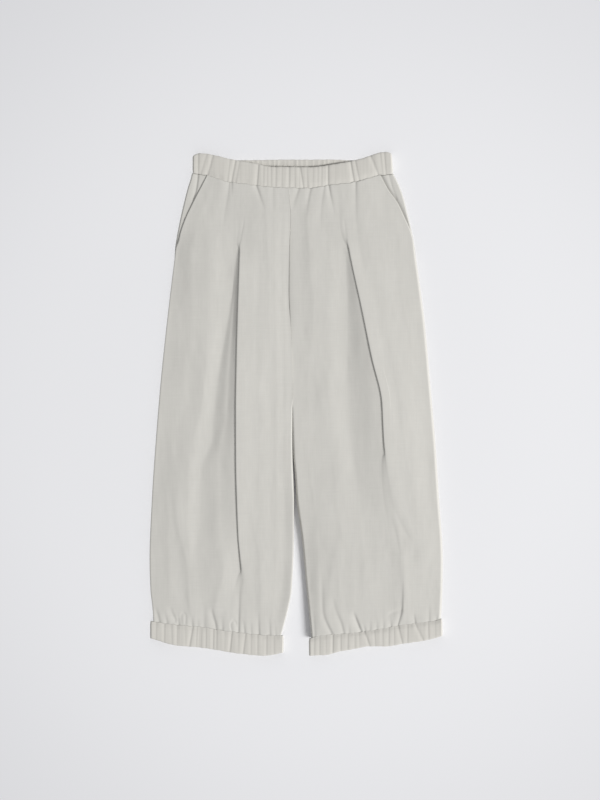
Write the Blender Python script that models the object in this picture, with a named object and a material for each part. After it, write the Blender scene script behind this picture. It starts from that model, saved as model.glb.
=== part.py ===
"""Cropped balloon trousers laid flat on a floor, front up: one solid for each piece that is cut and sewn.

Sizes in the tables are millimetres. Across is measured from the middle of the garment's box, positive
to the right as seen from above. Down is measured from the highest corner of the waistband towards the
hems. Height is measured from the floor to the middle of the cloth's thickness. The model is in metres:
+X is across, +Y points from the hems to the waist and +Z is up, with the origin on the floor below the
middle of the garment.
"""

from collections import namedtuple

import bpy
import numpy as np

MM = 0.001
MIDDLE_DOWN = 404.3
SEAM_GAP = 0.3
BACK_SEAM_GAP = 0.45

CLOTH_WALL = 1.2
BAND_WALL = 1.8

SEAM_HEIGHT = 4.15
EDGE_GAP = 0.6
BACK_HEIGHT = CLOTH_WALL / 2
CROTCH_DOWN = 410.0

FACING_BELOW = 2.0
FACING_TUCK = 12.0
FACING_FOOT = 152.0
FACING_ROUND = 5.0
FACING_BLEND = 0.6

FULL_FOLD = 4.0
OPEN_FOLD = 2.0
PLEAT_RUN = 3.0
SEAM_BLEND = 0.25

BAND_ROUND = 5.0
BAND_CLEAR = 0.5
BAND_LEVEL = 10.6
BAND_PADDING = 0.9
SHOULDER = 3.0
PINCH_WIDTH = 1.8
PUCKER_WIDTH = 4.0

STONE = (0.60, 0.59, 0.555)
ROUGHNESS = 0.85

Edge = namedtuple("Edge", "down across height round")
Pleat = namedtuple("Pleat", "down across overlap step wedge")
Level = namedtuple("Level", "down height pillow")
Rim = namedtuple("Rim", "across down")
Crease = namedtuple("Crease", "down across down_end across_end depth width")
Gather = namedtuple("Gather", "top foot depth")
Pucker = namedtuple("Pucker", "across depth reach")
Stretch = namedtuple("Stretch", "start end count")
Panel = namedtuple("Panel", "name left right pleat creases puckers seam before after")
Band = namedtuple("Band", "name front_top front_foot back_top back_foot gathers back_gathers")

# Height of the upper cloth along the legs, and how much the middle of a panel is puffed above that.
LEVELS = [
    Level(36, 10.2, 0.5),
    Level(110, 9.8, 1.5),
    Level(300, 9.9, 2.5),
    Level(520, 10.2, 4.0),
    Level(680, 10.6, 5.5),
    Level(735, 11.2, 4.5),
    Level(780, 9.8, 0.8),
]

# Outer edges of the front panels: along the pocket mouth first, then down the side seam to the cuff.
LEFT_SIDE = [
    Edge(38, -141.8, 9.4, 2.5),
    Edge(60, -153.4, 9.2, 2.5),
    Edge(77, -162.3, 9.0, 2.5),
    Edge(110, -178.0, 8.6, 2.5),
    Edge(130, -185.0, 8.4, 2.5),
    Edge(143, -188.6, 8.0, 3.0),
    Edge(156, -193.0, 6.2, 4.0),
    Edge(172, -195.0, 4.45, 6.0),
    Edge(270, -206.8, 4.45, 7.0),
    Edge(366, -216.9, 4.45, 7.5),
    Edge(462, -224.9, 4.45, 8.0),
    Edge(558, -231.3, 4.45, 8.5),
    Edge(654, -235.0, 4.45, 9.0),
    Edge(702, -233.5, 4.45, 9.0),
    Edge(730, -230.4, 4.45, 8.0),
    Edge(746, -225.5, 4.45, 6.0),
    Edge(756, -221.0, 4.45, 5.0),
]
RIGHT_SIDE = [
    Edge(38, 133.7, 9.4, 2.5),
    Edge(62, 146.8, 9.2, 2.5),
    Edge(82, 161.2, 9.0, 2.5),
    Edge(106, 172.9, 8.6, 2.5),
    Edge(131, 184.2, 8.2, 2.5),
    Edge(145, 188.0, 7.6, 3.0),
    Edge(158, 190.0, 6.0, 4.0),
    Edge(174, 192.4, 4.45, 6.0),
    Edge(270, 205.4, 4.45, 7.0),
    Edge(366, 214.2, 4.45, 7.5),
    Edge(462, 222.5, 4.45, 8.0),
    Edge(558, 228.9, 4.45, 8.5),
    Edge(654, 234.8, 4.45, 9.0),
    Edge(702, 234.2, 4.45, 8.0),
    Edge(730, 233.0, 4.45, 7.0),
    Edge(750, 231.6, 4.45, 5.0),
]

# Side seams behind the pocket mouths, from the waist to just below the pockets.
LEFT_HIP = [
    Edge(36, -167.2, 4.45, 5.0),
    Edge(46, -169.7, 4.45, 5.0),
    Edge(61, -174.5, 4.45, 5.0),
    Edge(78, -178.8, 4.45, 5.0),
    Edge(102, -184.4, 4.45, 5.0),
    Edge(126, -189.4, 4.45, 5.0),
    Edge(150, -193.4, 4.45, 5.0),
    Edge(160, -194.4, 4.45, 5.0),
]
RIGHT_HIP = [
    Edge(36, 155.6, 4.45, 5.0),
    Edge(46, 160.8, 4.45, 5.0),
    Edge(61, 167.3, 4.45, 5.0),
    Edge(78, 172.9, 4.45, 5.0),
    Edge(102, 178.8, 4.45, 5.0),
    Edge(126, 184.6, 4.45, 5.0),
    Edge(150, 189.2, 4.45, 5.0),
    Edge(160, 190.8, 4.45, 5.0),
]

# Inner edges: both follow the centre seam down to the crotch, and then each leg has its own inseam.
LEFT_INNER = [
    Edge(58, -12.8, 8.8, 6.0),
    Edge(80, -11.0, 8.2, 7.0),
    Edge(107, -9.0, 7.8, 8.0),
    Edge(155, -11.0, 7.2, 9.0),
    Edge(226, -12.0, 6.6, 10.0),
    Edge(304, -7.3, 7.0, 9.0),
    Edge(371, -5.5, 7.4, 8.0),
    Edge(394, -6.2, 6.6, 7.0),
    Edge(425, -6.2, 4.45, 7.0),
    Edge(490, -5.8, 4.45, 7.0),
    Edge(520, -4.6, 4.45, 7.0),
    Edge(560, -3.6, 4.45, 8.0),
    Edge(622, -3.9, 4.45, 9.0),
    Edge(702, -7.2, 4.45, 9.0),
    Edge(734, -13.2, 4.45, 8.0),
    Edge(775, -24.0, 4.45, 5.0),
]
RIGHT_INNER = [
    Edge(58, -12.8, 8.8, 6.0),
    Edge(80, -11.0, 8.2, 7.0),
    Edge(107, -9.0, 7.8, 8.0),
    Edge(155, -11.0, 7.2, 9.0),
    Edge(226, -12.0, 6.6, 10.0),
    Edge(304, -7.3, 7.0, 9.0),
    Edge(371, -5.5, 7.4, 8.0),
    Edge(394, -6.2, 6.6, 7.0),
    Edge(425, -6.0, 4.45, 7.0),
    Edge(490, -4.6, 4.45, 7.0),
    Edge(520, -2.0, 4.45, 7.0),
    Edge(558, 0.6, 4.45, 7.0),
    Edge(622, 9.2, 4.45, 7.0),
    Edge(691, 15.6, 4.45, 7.0),
    Edge(742, 20.4, 4.45, 6.0),
    Edge(779, 24.0, 4.45, 5.0),
]

# Pleats: the tuck is stitched shut above 145 mm, then opens with the right part folded over the left one.
# Overlap is how far the hidden fold reaches under the visible one, step the height that the folds take up,
# and wedge the width of the valley to the left of the visible fold.
LEFT_PLEAT = [
    Pleat(50, -80.0, -6.0, 0.0, 6.0),
    Pleat(117, -84.4, -4.0, 0.3, 6.0),
    Pleat(144, -89.2, -3.0, 1.6, 6.0),
    Pleat(156, -90.2, -1.0, 3.2, 6.0),
    Pleat(170, -90.6, 2.0, 3.8, 7.0),
    Pleat(192, -91.2, 5.0, 3.8, 9.0),
    Pleat(256, -93.3, 11.0, 3.8, 15.0),
    Pleat(342, -95.5, 15.0, 3.8, 28.0),
    Pleat(424, -96.6, 16.0, 3.8, 36.0),
    Pleat(500, -96.3, 15.0, 3.8, 52.0),
    Pleat(560, -94.8, 13.0, 3.8, 56.0),
    Pleat(638, -91.6, 8.0, 3.8, 50.0),
    Pleat(664, -88.6, 3.0, 3.8, 44.0),
    Pleat(684, -87.6, -1.5, 3.4, 40.0),
    Pleat(706, -90.6, -7.0, 1.5, 30.0),
    Pleat(744, -91.8, -12.0, 0.6, 20.0),
    Pleat(770, -92.4, -14.0, 0.4, 16.0),
]
RIGHT_PLEAT = [
    Pleat(50, 74.8, -6.0, 0.0, 6.0),
    Pleat(118, 77.2, -4.0, 0.3, 6.0),
    Pleat(138, 80.6, -3.0, 1.6, 6.0),
    Pleat(150, 83.0, -1.0, 3.2, 6.0),
    Pleat(166, 86.2, 2.0, 3.8, 7.0),
    Pleat(190, 91.2, 5.0, 3.8, 11.0),
    Pleat(245, 103.3, 10.0, 3.8, 21.0),
    Pleat(332, 121.2, 14.0, 3.8, 38.0),
    Pleat(402, 137.2, 13.0, 3.8, 52.0),
    Pleat(440, 138.8, 9.0, 3.8, 54.0),
    Pleat(470, 140.9, 4.0, 3.8, 54.0),
    Pleat(496, 143.8, -1.0, 3.4, 50.0),
    Pleat(520, 146.5, -6.0, 2.0, 44.0),
    Pleat(562, 154.8, -11.0, 0.9, 34.0),
    Pleat(645, 167.0, -12.0, 0.9, 26.0),
    Pleat(731, 168.5, -10.0, 1.6, 14.0),
    Pleat(765, 162.0, -8.0, 1.8, 10.0),
]

# Waist seam of the front, leg cuff seams, and the band edges that lie outside them.
WAIST_SEAM = [
    Rim(-166.0, 36.0),
    Rim(-140.4, 39.4),
    Rim(-125.0, 44.2),
    Rim(-110.0, 48.8),
    Rim(-65.4, 54.6),
    Rim(-13.2, 58.9),
    Rim(22.0, 58.9),
    Rim(52.4, 54.8),
    Rim(92.4, 49.4),
    Rim(112.0, 44.6),
    Rim(131.8, 39.0),
    Rim(155.3, 36.5),
]
WAIST_TOP_FRONT = [
    Rim(-166.0, 8.0),
    Rim(-154.5, 3.6),
    Rim(-136.4, 5.6),
    Rim(-102.8, 13.4),
    Rim(-67.6, 19.4),
    Rim(-37.2, 25.1),
    Rim(22.0, 25.6),
    Rim(68.4, 19.7),
    Rim(103.6, 12.2),
    Rim(143.6, 1.4),
    Rim(153.0, 4.0),
]
WAIST_TOP_BACK = [
    Rim(-166.0, 8.0),
    Rim(-154.5, 3.8),
    Rim(-120.0, 9.6),
    Rim(-68.0, 14.2),
    Rim(0.0, 13.6),
    Rim(60.0, 11.8),
    Rim(95.0, 8.0),
    Rim(143.6, 1.8),
    Rim(153.0, 4.0),
]
WAIST_SEAM_BACK = [
    Rim(-166.0, 36.0),
    Rim(-110.0, 42.0),
    Rim(0.0, 46.0),
    Rim(92.0, 41.5),
    Rim(155.3, 36.5),
]
LEFT_CUFF_SEAM = [
    Rim(-234.0, 752.0),
    Rim(-221.2, 754.6),
    Rim(-187.6, 758.4),
    Rim(-142.8, 763.2),
    Rim(-101.2, 769.6),
    Rim(-77.2, 772.8),
    Rim(-20.0, 776.0),
]
LEFT_CUFF_FOOT = [
    Rim(-234.0, 779.5),
    Rim(-192.4, 791.0),
    Rim(-158.8, 794.0),
    Rim(-126.8, 798.4),
    Rim(-93.2, 804.0),
    Rim(-51.6, 807.5),
    Rim(-20.6, 803.0),
]
RIGHT_CUFF_SEAM = [
    Rim(20.0, 779.6),
    Rim(40.7, 775.4),
    Rim(74.8, 772.6),
    Rim(117.5, 768.0),
    Rim(143.1, 763.2),
    Rim(164.0, 759.0),
    Rim(185.2, 756.4),
    Rim(210.8, 753.6),
    Rim(234.0, 748.5),
]
RIGHT_CUFF_FOOT = [
    Rim(20.4, 807.5),
    Rim(49.2, 806.4),
    Rim(66.3, 801.6),
    Rim(91.9, 796.8),
    Rim(117.5, 792.6),
    Rim(143.1, 792.6),
    Rim(168.7, 788.8),
    Rim(202.8, 784.0),
    Rim(234.3, 776.0),
]

# Gathers of the bands from left to right: across at the top and at the foot, and how deep each is pinched.
WAIST_GATHERS = [
    Gather(-156.6, -157.0, 1.2),
    Gather(-142.8, -153.0, 0.9),
    Gather(-132.9, -141.8, 1.8),
    Gather(-106.0, -110.0, 1.1),
    Gather(-97.0, -103.5, 1.8),
    Gather(-90.5, -97.0, 0.9),
    Gather(-60.2, -62.8, 1.8),
    Gather(-52.2, -53.0, 0.8),
    Gather(-46.3, -46.6, 0.7),
    Gather(-40.4, -40.2, 0.8),
    Gather(-32.4, -32.8, 0.8),
    Gather(-22.8, -23.2, 0.7),
    Gather(-11.0, -11.4, 1.6),
    Gather(-2.6, -2.4, 0.8),
    Gather(6.4, 11.6, 1.6),
    Gather(16.7, 18.0, 0.8),
    Gather(26.8, 26.2, 0.9),
    Gather(34.8, 34.4, 0.7),
    Gather(40.6, 40.2, 0.8),
    Gather(45.4, 45.6, 0.7),
    Gather(51.0, 51.2, 1.7),
    Gather(62.6, 62.0, 0.5),
    Gather(86.8, 92.4, 1.8),
    Gather(94.0, 101.0, 1.4),
    Gather(119.0, 131.5, 1.8),
    Gather(134.0, 138.2, 0.9),
    Gather(140.6, 143.8, 1.0),
]
LEFT_CUFF_GATHERS = [
    Gather(-223.8, -224.2, 0.9),
    Gather(-210.6, -211.0, 0.9),
    Gather(-200.0, -199.0, 0.5),
    Gather(-189.4, -190.4, 0.9),
    Gather(-178.0, -177.0, 0.5),
    Gather(-165.2, -171.0, 1.5),
    Gather(-157.6, -158.6, 0.9),
    Gather(-151.6, -152.0, 0.9),
    Gather(-144.4, -144.6, 1.0),
    Gather(-132.4, -133.0, 1.4),
    Gather(-126.6, -127.2, 0.8),
    Gather(-114.0, -115.0, 0.5),
    Gather(-102.6, -106.5, 1.4),
    Gather(-92.0, -94.0, 0.5),
    Gather(-81.0, -84.8, 1.4),
    Gather(-71.8, -72.4, 0.8),
    Gather(-61.8, -62.0, 0.9),
    Gather(-47.0, -47.4, 0.9),
    Gather(-36.0, -35.6, 0.5),
]
RIGHT_CUFF_GATHERS = [
    Gather(29.0, 28.6, 0.8),
    Gather(37.4, 37.2, 0.9),
    Gather(48.0, 48.0, 0.5),
    Gather(58.8, 58.4, 1.5),
    Gather(71.6, 71.2, 0.9),
    Gather(82.8, 82.4, 0.8),
    Gather(93.4, 93.6, 0.8),
    Gather(100.8, 101.4, 0.8),
    Gather(109.6, 116.4, 1.5),
    Gather(125.0, 126.8, 0.9),
    Gather(138.0, 138.6, 0.8),
    Gather(148.4, 148.0, 0.9),
    Gather(156.6, 157.0, 0.7),
    Gather(165.2, 165.8, 1.5),
    Gather(177.2, 177.8, 0.9),
    Gather(191.0, 203.0, 1.4),
    Gather(210.6, 212.0, 0.9),
    Gather(221.0, 221.4, 0.6),
]
BACK_GATHER_DEPTH = 1.1
BACK_GATHER_WANDER = 1.6

# Largest folds in the front panels: a straight trough from one place to another, fading out at its far end.
LEFT_CREASES = [
    Crease(50, -106.0, 118, -119.0, 1.6, 6.0),
    Crease(54, -64.6, 130, -47.0, 2.2, 5.0),
    Crease(110, -50.0, 400, -40.0, 1.3, 6.0),
    Crease(746, -86.0, 640, -61.0, 1.6, 7.0),
    Crease(762, -184.0, 640, -190.0, 2.0, 9.0),
    Crease(762, -136.0, 620, -122.0, 2.2, 12.0),
]
RIGHT_CREASES = [
    Crease(60, 10.0, 330, 24.0, 1.4, 6.0),
    Crease(60, 48.0, 130, 40.0, 1.0, 5.0),
    Crease(56, 52.5, 120, 61.0, 1.8, 4.5),
    Crease(52, 96.0, 190, 106.0, 1.4, 6.0),
    Crease(762, 52.0, 640, 40.0, 2.2, 9.0),
    Crease(762, 112.0, 690, 92.0, 2.0, 7.0),
    Crease(560, 155.0, 690, 172.0, 1.8, 9.0),
]

# Puckers where the legs are gathered into the cuffs: across at the seam, and the depth and length of each.
LEFT_PUCKERS = [
    Pucker(-206.0, 1.2, 26.0),
    Pucker(-190.0, 1.8, 34.0),
    Pucker(-178.0, 1.4, 24.0),
    Pucker(-164.5, 1.2, 22.0),
    Pucker(-150.0, 1.2, 30.0),
    Pucker(-130.0, 1.9, 34.0),
    Pucker(-117.0, 1.1, 22.0),
    Pucker(-100.0, 1.3, 24.0),
    Pucker(-81.0, 1.5, 26.0),
    Pucker(-60.5, 1.7, 60.0),
    Pucker(-42.0, 1.2, 26.0),
]
RIGHT_PUCKERS = [
    Pucker(38.0, 1.2, 28.0),
    Pucker(56.0, 1.9, 44.0),
    Pucker(75.0, 1.5, 38.0),
    Pucker(90.0, 1.1, 22.0),
    Pucker(104.0, 1.8, 26.0),
    Pucker(117.0, 1.3, 24.0),
    Pucker(129.0, 1.0, 20.0),
    Pucker(141.0, 1.1, 22.0),
    Pucker(152.0, 1.2, 24.0),
    Pucker(184.0, 1.3, 26.0),
    Pucker(206.0, 1.5, 30.0),
    Pucker(220.0, 1.1, 22.0),
]

# Rows of a front panel from the waist seam to the cuff seam, as parts of its length, closest at both ends.
FRONT_ROWS = [
    Stretch(0.0, 0.09, 4),
    Stretch(0.09, 0.12, 1),
    Stretch(0.12, 0.21, 6),
    Stretch(0.21, 0.79, 10),
    Stretch(0.79, 0.93, 4),
    Stretch(0.93, 1.0, 3),
]
BACK_ROWS = [Stretch(0.0, 0.2, 3), Stretch(0.2, 0.8, 7), Stretch(0.8, 1.0, 6)]
BAND_ROWS = 3
BACK_COLUMNS = 11
FACING_ROWS = 7
FACING_COLUMNS = 3
ROUNDING = np.radians([0, 15, 45, 90])
END_TURNS = np.radians([-60, -30, 0, 30, 60])


def remove_everything():
    """Empty the scene, and leave the file it runs from open."""
    for item in list(bpy.data.objects):
        bpy.data.objects.remove(item, do_unlink=True)


def cloth_material(name):
    """Matte woven cotton in one colour."""
    material = bpy.data.materials.new(name)
    material.use_nodes = True
    shader = material.node_tree.nodes["Principled BSDF"]
    shader.inputs["Base Color"].default_value = (*STONE, 1.0)
    shader.inputs["Roughness"].default_value = ROUGHNESS
    shader.inputs["Metallic"].default_value = 0.0
    return material


def curve(table, column, at):
    """Read one column of a table at given places, along a smooth line that never overshoots its rows."""
    knots = np.array([row[0] for row in table], float)
    values = np.array([getattr(row, column) for row in table], float)
    step = np.diff(knots)
    rise = np.diff(values) / step
    slope = np.empty_like(values)
    slope[0], slope[-1] = rise[0], rise[-1]
    before, after = rise[:-1], rise[1:]
    same_way = before * after > 0
    total = np.where(same_way, before + after, 1.0)
    slope[1:-1] = np.where(same_way, 2 * before * after / total, 0.0)
    at = np.clip(np.asarray(at, float), knots[0], knots[-1])
    cell = np.clip(np.searchsorted(knots, at) - 1, 0, len(step) - 1)
    part = (at - knots[cell]) / step[cell]
    start = (1 + 2 * part) * (1 - part) ** 2 * values[cell]
    start += part * (1 - part) ** 2 * step[cell] * slope[cell]
    end = part**2 * (3 - 2 * part) * values[cell + 1]
    end += part**2 * (part - 1) * step[cell] * slope[cell + 1]
    return start + end


def ease(part):
    """Go smoothly from 0 to 1 as part does."""
    part = np.clip(part, 0.0, 1.0)
    return part * part * (3 - 2 * part)


def stations(stretches):
    """Places of the rows: each stretch split evenly."""
    places = [stretches[0].start]
    for stretch in stretches:
        places += list(np.linspace(stretch.start, stretch.end, stretch.count + 1)[1:])
    return np.array(places)


def sheet(name, grid, wall, around=False):
    """Make one closed wall of cloth round a grid of points, which are (across, down, height)."""
    rows, columns = grid.shape[:2]
    points = grid.reshape(-1, 3) * (1, -1, 1) + (0, MIDDLE_DOWN, 0)
    faces = []
    for row in range(rows - 1):
        for column in range(columns if around else columns - 1):
            here = row * columns + column
            beside = row * columns + (column + 1) % columns
            faces.append((here, here + columns, beside + columns, beside))
    mesh = bpy.data.meshes.new(name)
    mesh.from_pydata([tuple(point) for point in points * MM], [], faces)
    mesh.shade_smooth()
    piece = bpy.data.objects.new(name, mesh)
    bpy.context.collection.objects.link(piece)
    mesh.materials.append(cloth_material(name))
    thickness = piece.modifiers.new("cloth thickness", "SOLIDIFY")
    thickness.thickness = wall * MM
    thickness.offset = 0
    thickness.use_rim = True
    return piece


def fold_depth(creases, puckers, seam, across, down):
    """How far the folds and puckers push the cloth down at each point."""
    depth = np.zeros_like(across)
    for crease in creases:
        part = (down - crease.down) / (crease.down_end - crease.down)
        line = crease.across + (crease.across_end - crease.across) * part
        strength = np.where(part < 0, 1 - ease(-part * 4), 1 - ease((part - 0.35) / 0.65))
        depth += crease.depth * strength * np.exp(-(((across - line) / crease.width) ** 2))
    above = np.clip(curve(seam, "down", across) - down, 0, None)
    for pucker in puckers:
        strength = np.exp(-above / pucker.reach)
        depth += pucker.depth * strength * np.exp(-(((across - pucker.across) / PUCKER_WIDTH) ** 2))
    return depth


def top_height(panel, across, down):
    """Height of the upper cloth of a front panel, without its pleat."""
    left = curve(panel.left, "across", down)
    right = curve(panel.right, "across", down)
    part = np.clip((across - left) / (right - left), 0, 1)
    height = curve(LEVELS, "height", down) + curve(LEVELS, "pillow", down) * 4 * part * (1 - part)
    return height - fold_depth(panel.creases, panel.puckers, panel.seam, across, down)


def pleat_columns(pleat, down, top):
    """Points across a pleat at each row: under the visible fold, round the hidden one, back and over.

    Where the overlap is small the folds are blunt. Where it is negative they open into a plain slope.
    """
    fold = curve(pleat, "across", down)
    overlap = curve(pleat, "overlap", down)
    step = curve(pleat, "step", down)
    folded = np.clip(overlap / FULL_FOLD, 0, 1)
    bulge = step / 4 * folded
    slope = np.clip(-overlap / OPEN_FOLD, 0, 1)
    start = fold + np.minimum(overlap, 0) - PLEAT_RUN
    hidden = fold + np.maximum(overlap, 0)
    edge = fold + bulge
    across = [start, (start + hidden) / 2, hidden, hidden + bulge, hidden]
    across += [(hidden + edge) / 2, edge, fold, edge]
    flat_layers = [0, 0, 0, 1, 2, 2, 2, 3, 4]
    steep_layers = [0, 0, 0, 0.8, 1.6, 2, 2.4, 3.2, 4]
    columns = []
    for index, place in enumerate(across):
        share = index / (len(across) - 1)
        plain = start + (edge - start) * share
        layer = flat_layers[index] * folded + steep_layers[index] * (1 - folded)
        height = step / 4 * (layer + (4 * share - layer) * slope)
        columns.append((place + (plain - place) * slope, top - step + height))
    return columns


def rounded_columns(edge, width, way):
    """Places across and sines of the turn for the columns that round off an edge, from it inwards."""
    return [(edge + way * width * (1 - np.cos(turn)), np.sin(turn)) for turn in ROUNDING]


def between(start, end, count):
    """Columns evenly spaced between two lines, each a pair of places across and down."""
    columns = []
    for part in np.linspace(0, 1, count + 2)[1:-1]:
        columns.append((start[0] + (end[0] - start[0]) * part, start[1] + (end[1] - start[1]) * part))
    return columns


def seam_fit(across, down, place, head, foot):
    """Shift a column's ends on to the seams above and below it, fading out towards its middle."""
    to_head = head(across[0]) - down[0]
    to_foot = foot(across[-1]) - down[-1]
    near_head = 1 - ease(place / SEAM_BLEND)
    near_foot = ease((place - 1 + SEAM_BLEND) / SEAM_BLEND)
    return down + to_head * near_head + to_foot * near_foot


def front_panel(panel):
    """One front leg panel: rounded edges, a pleat whose layers lie over each other, folds and puckers."""
    place = stations(FRONT_ROWS)
    inset = CLOTH_WALL / 2 + SEAM_GAP / 2

    def head(across):
        return curve(WAIST_SEAM, "down", across) + SEAM_GAP / 2

    def foot(across):
        return curve(panel.seam, "down", across) - SEAM_GAP / 2

    def read(table):
        first, last = head(table[0].across), foot(table[-1].across)
        down = first + (last - first) * place
        return curve(table, "across", down), down

    left, left_down = read(panel.left)
    fold, fold_down = read(panel.pleat)
    right, right_down = read(panel.right)
    left = left + inset
    right = right - inset
    left_round = curve(panel.left, "round", left_down)
    right_round = curve(panel.right, "round", right_down)
    left_height = curve(panel.left, "height", left_down)
    right_height = curve(panel.right, "height", right_down)
    top = top_height(panel, fold, fold_down)
    pleat = pleat_columns(panel.pleat, fold_down, top)
    valley = top - curve(panel.pleat, "step", fold_down)
    wedge = curve(panel.pleat, "wedge", fold_down)
    columns = []

    def add(across, down, shape):
        down = seam_fit(across, down, place, head, foot)
        columns.append(np.stack([across, down, shape(top_height(panel, across, down))], axis=1))

    for across, sine in rounded_columns(left, left_round, 1):
        add(across, left_down, lambda height: left_height + (height - left_height) * sine)
    for across, down in between((left + left_round, left_down), (pleat[0][0], fold_down), panel.before):
        inside = ease((across - fold + wedge) / wedge)
        add(across, down, lambda height: height + (valley - height) * inside)
    for across, layer in pleat:
        add(across, fold_down, lambda height: layer)
    for across, down in between((pleat[-1][0], fold_down), (right - right_round, right_down), panel.after):
        add(across, down, lambda height: height)
    for across, sine in rounded_columns(right, right_round, -1)[::-1]:
        add(across, right_down, lambda height: right_height + (height - right_height) * sine)
    return sheet(panel.name, np.array(columns).transpose(1, 0, 2), CLOTH_WALL)


def raised(table):
    """A seam's line moved half the seam's gap up, for the band above it."""
    return [row._replace(down=row.down - SEAM_GAP / 2) for row in table]


def lowered(table):
    """A seam's line moved half the seam's gap down, for the band below it."""
    return [row._replace(down=row.down + SEAM_GAP / 2) for row in table]


def back_edges(table):
    """The back panel's own edge below a front edge: flat where the backs meet, turned up at leg seams."""
    rows = []
    for row in table:
        height = SEAM_HEIGHT - EDGE_GAP / 2 if row.down > CROTCH_DOWN else BACK_HEIGHT
        rows.append(row._replace(height=height))
    return rows


def side_edges(behind_pocket, front_side, height):
    """The side seam from waist to cuff: behind the pocket mouth first, then along the front's edge."""
    below = [row for row in front_side if row.down > behind_pocket[-1].down]
    return [row._replace(height=height) for row in behind_pocket + below]


def back_panel(name, left_edge, right_edge, seam):
    """One back leg panel, flat on the floor between its turned up edges."""
    place = stations(BACK_ROWS)
    inset = CLOTH_WALL / 2 + SEAM_GAP / 2

    def head(across):
        return curve(WAIST_SEAM_BACK, "down", across) + BACK_SEAM_GAP

    def foot(across):
        return curve(seam, "down", across) - BACK_SEAM_GAP

    def read(table):
        first, last = head(table[0].across), foot(table[-1].across)
        down = first + (last - first) * place
        return curve(table, "across", down), down, curve(table, "height", down), curve(table, "round", down)

    left, left_down, left_height, left_round = read(left_edge)
    right, right_down, right_height, right_round = read(right_edge)
    left = left + inset
    right = right - inset
    columns = []

    def add(across, down, height):
        columns.append(np.stack([across, seam_fit(across, down, place, head, foot), height], axis=1))

    for across, sine in rounded_columns(left, left_round, 1):
        add(across, left_down, left_height + (BACK_HEIGHT - left_height) * sine)
    first = (left + left_round, left_down)
    last = (right - right_round, right_down)
    for across, down in between(first, last, BACK_COLUMNS):
        add(across, down, np.full_like(place, BACK_HEIGHT))
    for across, sine in rounded_columns(right, right_round, -1)[::-1]:
        add(across, right_down, right_height + (BACK_HEIGHT - right_height) * sine)
    return sheet(name, np.array(columns).transpose(1, 0, 2), CLOTH_WALL)


def pocket_facing(name, side, mouth, way):
    """Hip facing: from the side seam over the rounded hip edge, and on under the front's pocket mouth.

    Way is 1 where the piece runs to the right from its side seam and -1 where it runs to the left.
    """
    place = np.linspace(0, 1, FACING_ROWS + 1)
    first = curve(WAIST_SEAM, "down", side[0].across) + SEAM_GAP / 2
    down = first + (FACING_FOOT - first) * place
    edge = curve(side, "across", down) + way * (CLOTH_WALL / 2 + SEAM_GAP / 2)
    low = np.full_like(down, SEAM_HEIGHT + EDGE_GAP / 2)
    level = np.maximum(curve(mouth, "height", down) - FACING_BELOW, low)
    inner = curve(mouth, "across", down) + way * FACING_TUCK
    columns = []
    for across, sine in rounded_columns(edge, FACING_ROUND, way):
        columns.append((across, low + (level - low) * sine))
    start = columns[-1][0]
    for part in np.linspace(0, 1, FACING_COLUMNS + 1)[1:]:
        columns.append((start + (inner - start) * part, level))
    grid = []
    for across, height in columns[::way]:
        to_head = curve(WAIST_SEAM, "down", across[0]) + SEAM_GAP / 2 - down[0]
        grid.append(np.stack([across, down + to_head * (1 - ease(place / FACING_BLEND)), height], axis=1))
    return sheet(name, np.array(grid).transpose(1, 0, 2), CLOTH_WALL)


def even_gathers(start, end, count):
    """Gathers on the hidden side of a band, unevenly spaced by a slow wander."""
    places = np.linspace(start, end, count + 2)[1:-1]
    rows = []
    for index, place in enumerate(places):
        shift = BACK_GATHER_WANDER * np.sin(index * 2.4)
        depth = BACK_GATHER_DEPTH * (0.75 + 0.25 * np.sin(index * 1.7))
        rows.append(Gather(place + shift, place + shift * 0.6, depth))
    return rows


def gather_columns(gathers, start, end):
    """Columns of a band: one in each pinch, and one or two on the cloth between it and the next."""
    columns = []
    marks = [(start, start)] + [(gather.top, gather.foot) for gather in gathers] + [(end, end)]
    for index, (top, foot) in enumerate(marks[:-1]):
        next_top, next_foot = marks[index + 1]
        columns.append((top, foot))
        gap = min(next_top - top, next_foot - foot)
        if gap > SHOULDER * 4:
            columns.append((top + SHOULDER, foot + SHOULDER))
        if gap <= SHOULDER * 4 or gap > SHOULDER * 6:
            columns.append(((top + next_top) / 2, (foot + next_foot) / 2))
        if gap > SHOULDER * 4:
            columns.append((next_top - SHOULDER, next_foot - SHOULDER))
    columns.append(marks[-1])
    return columns


def pinch(gathers, across, part):
    """How deep the gathers of a band pinch it at a place across and a part of the way from top to foot."""
    depth = np.zeros_like(across)
    for gather in gathers:
        line = gather.top + (gather.foot - gather.top) * part
        depth += gather.depth * np.exp(-(((across - line) / PINCH_WIDTH) ** 2))
    return depth


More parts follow.
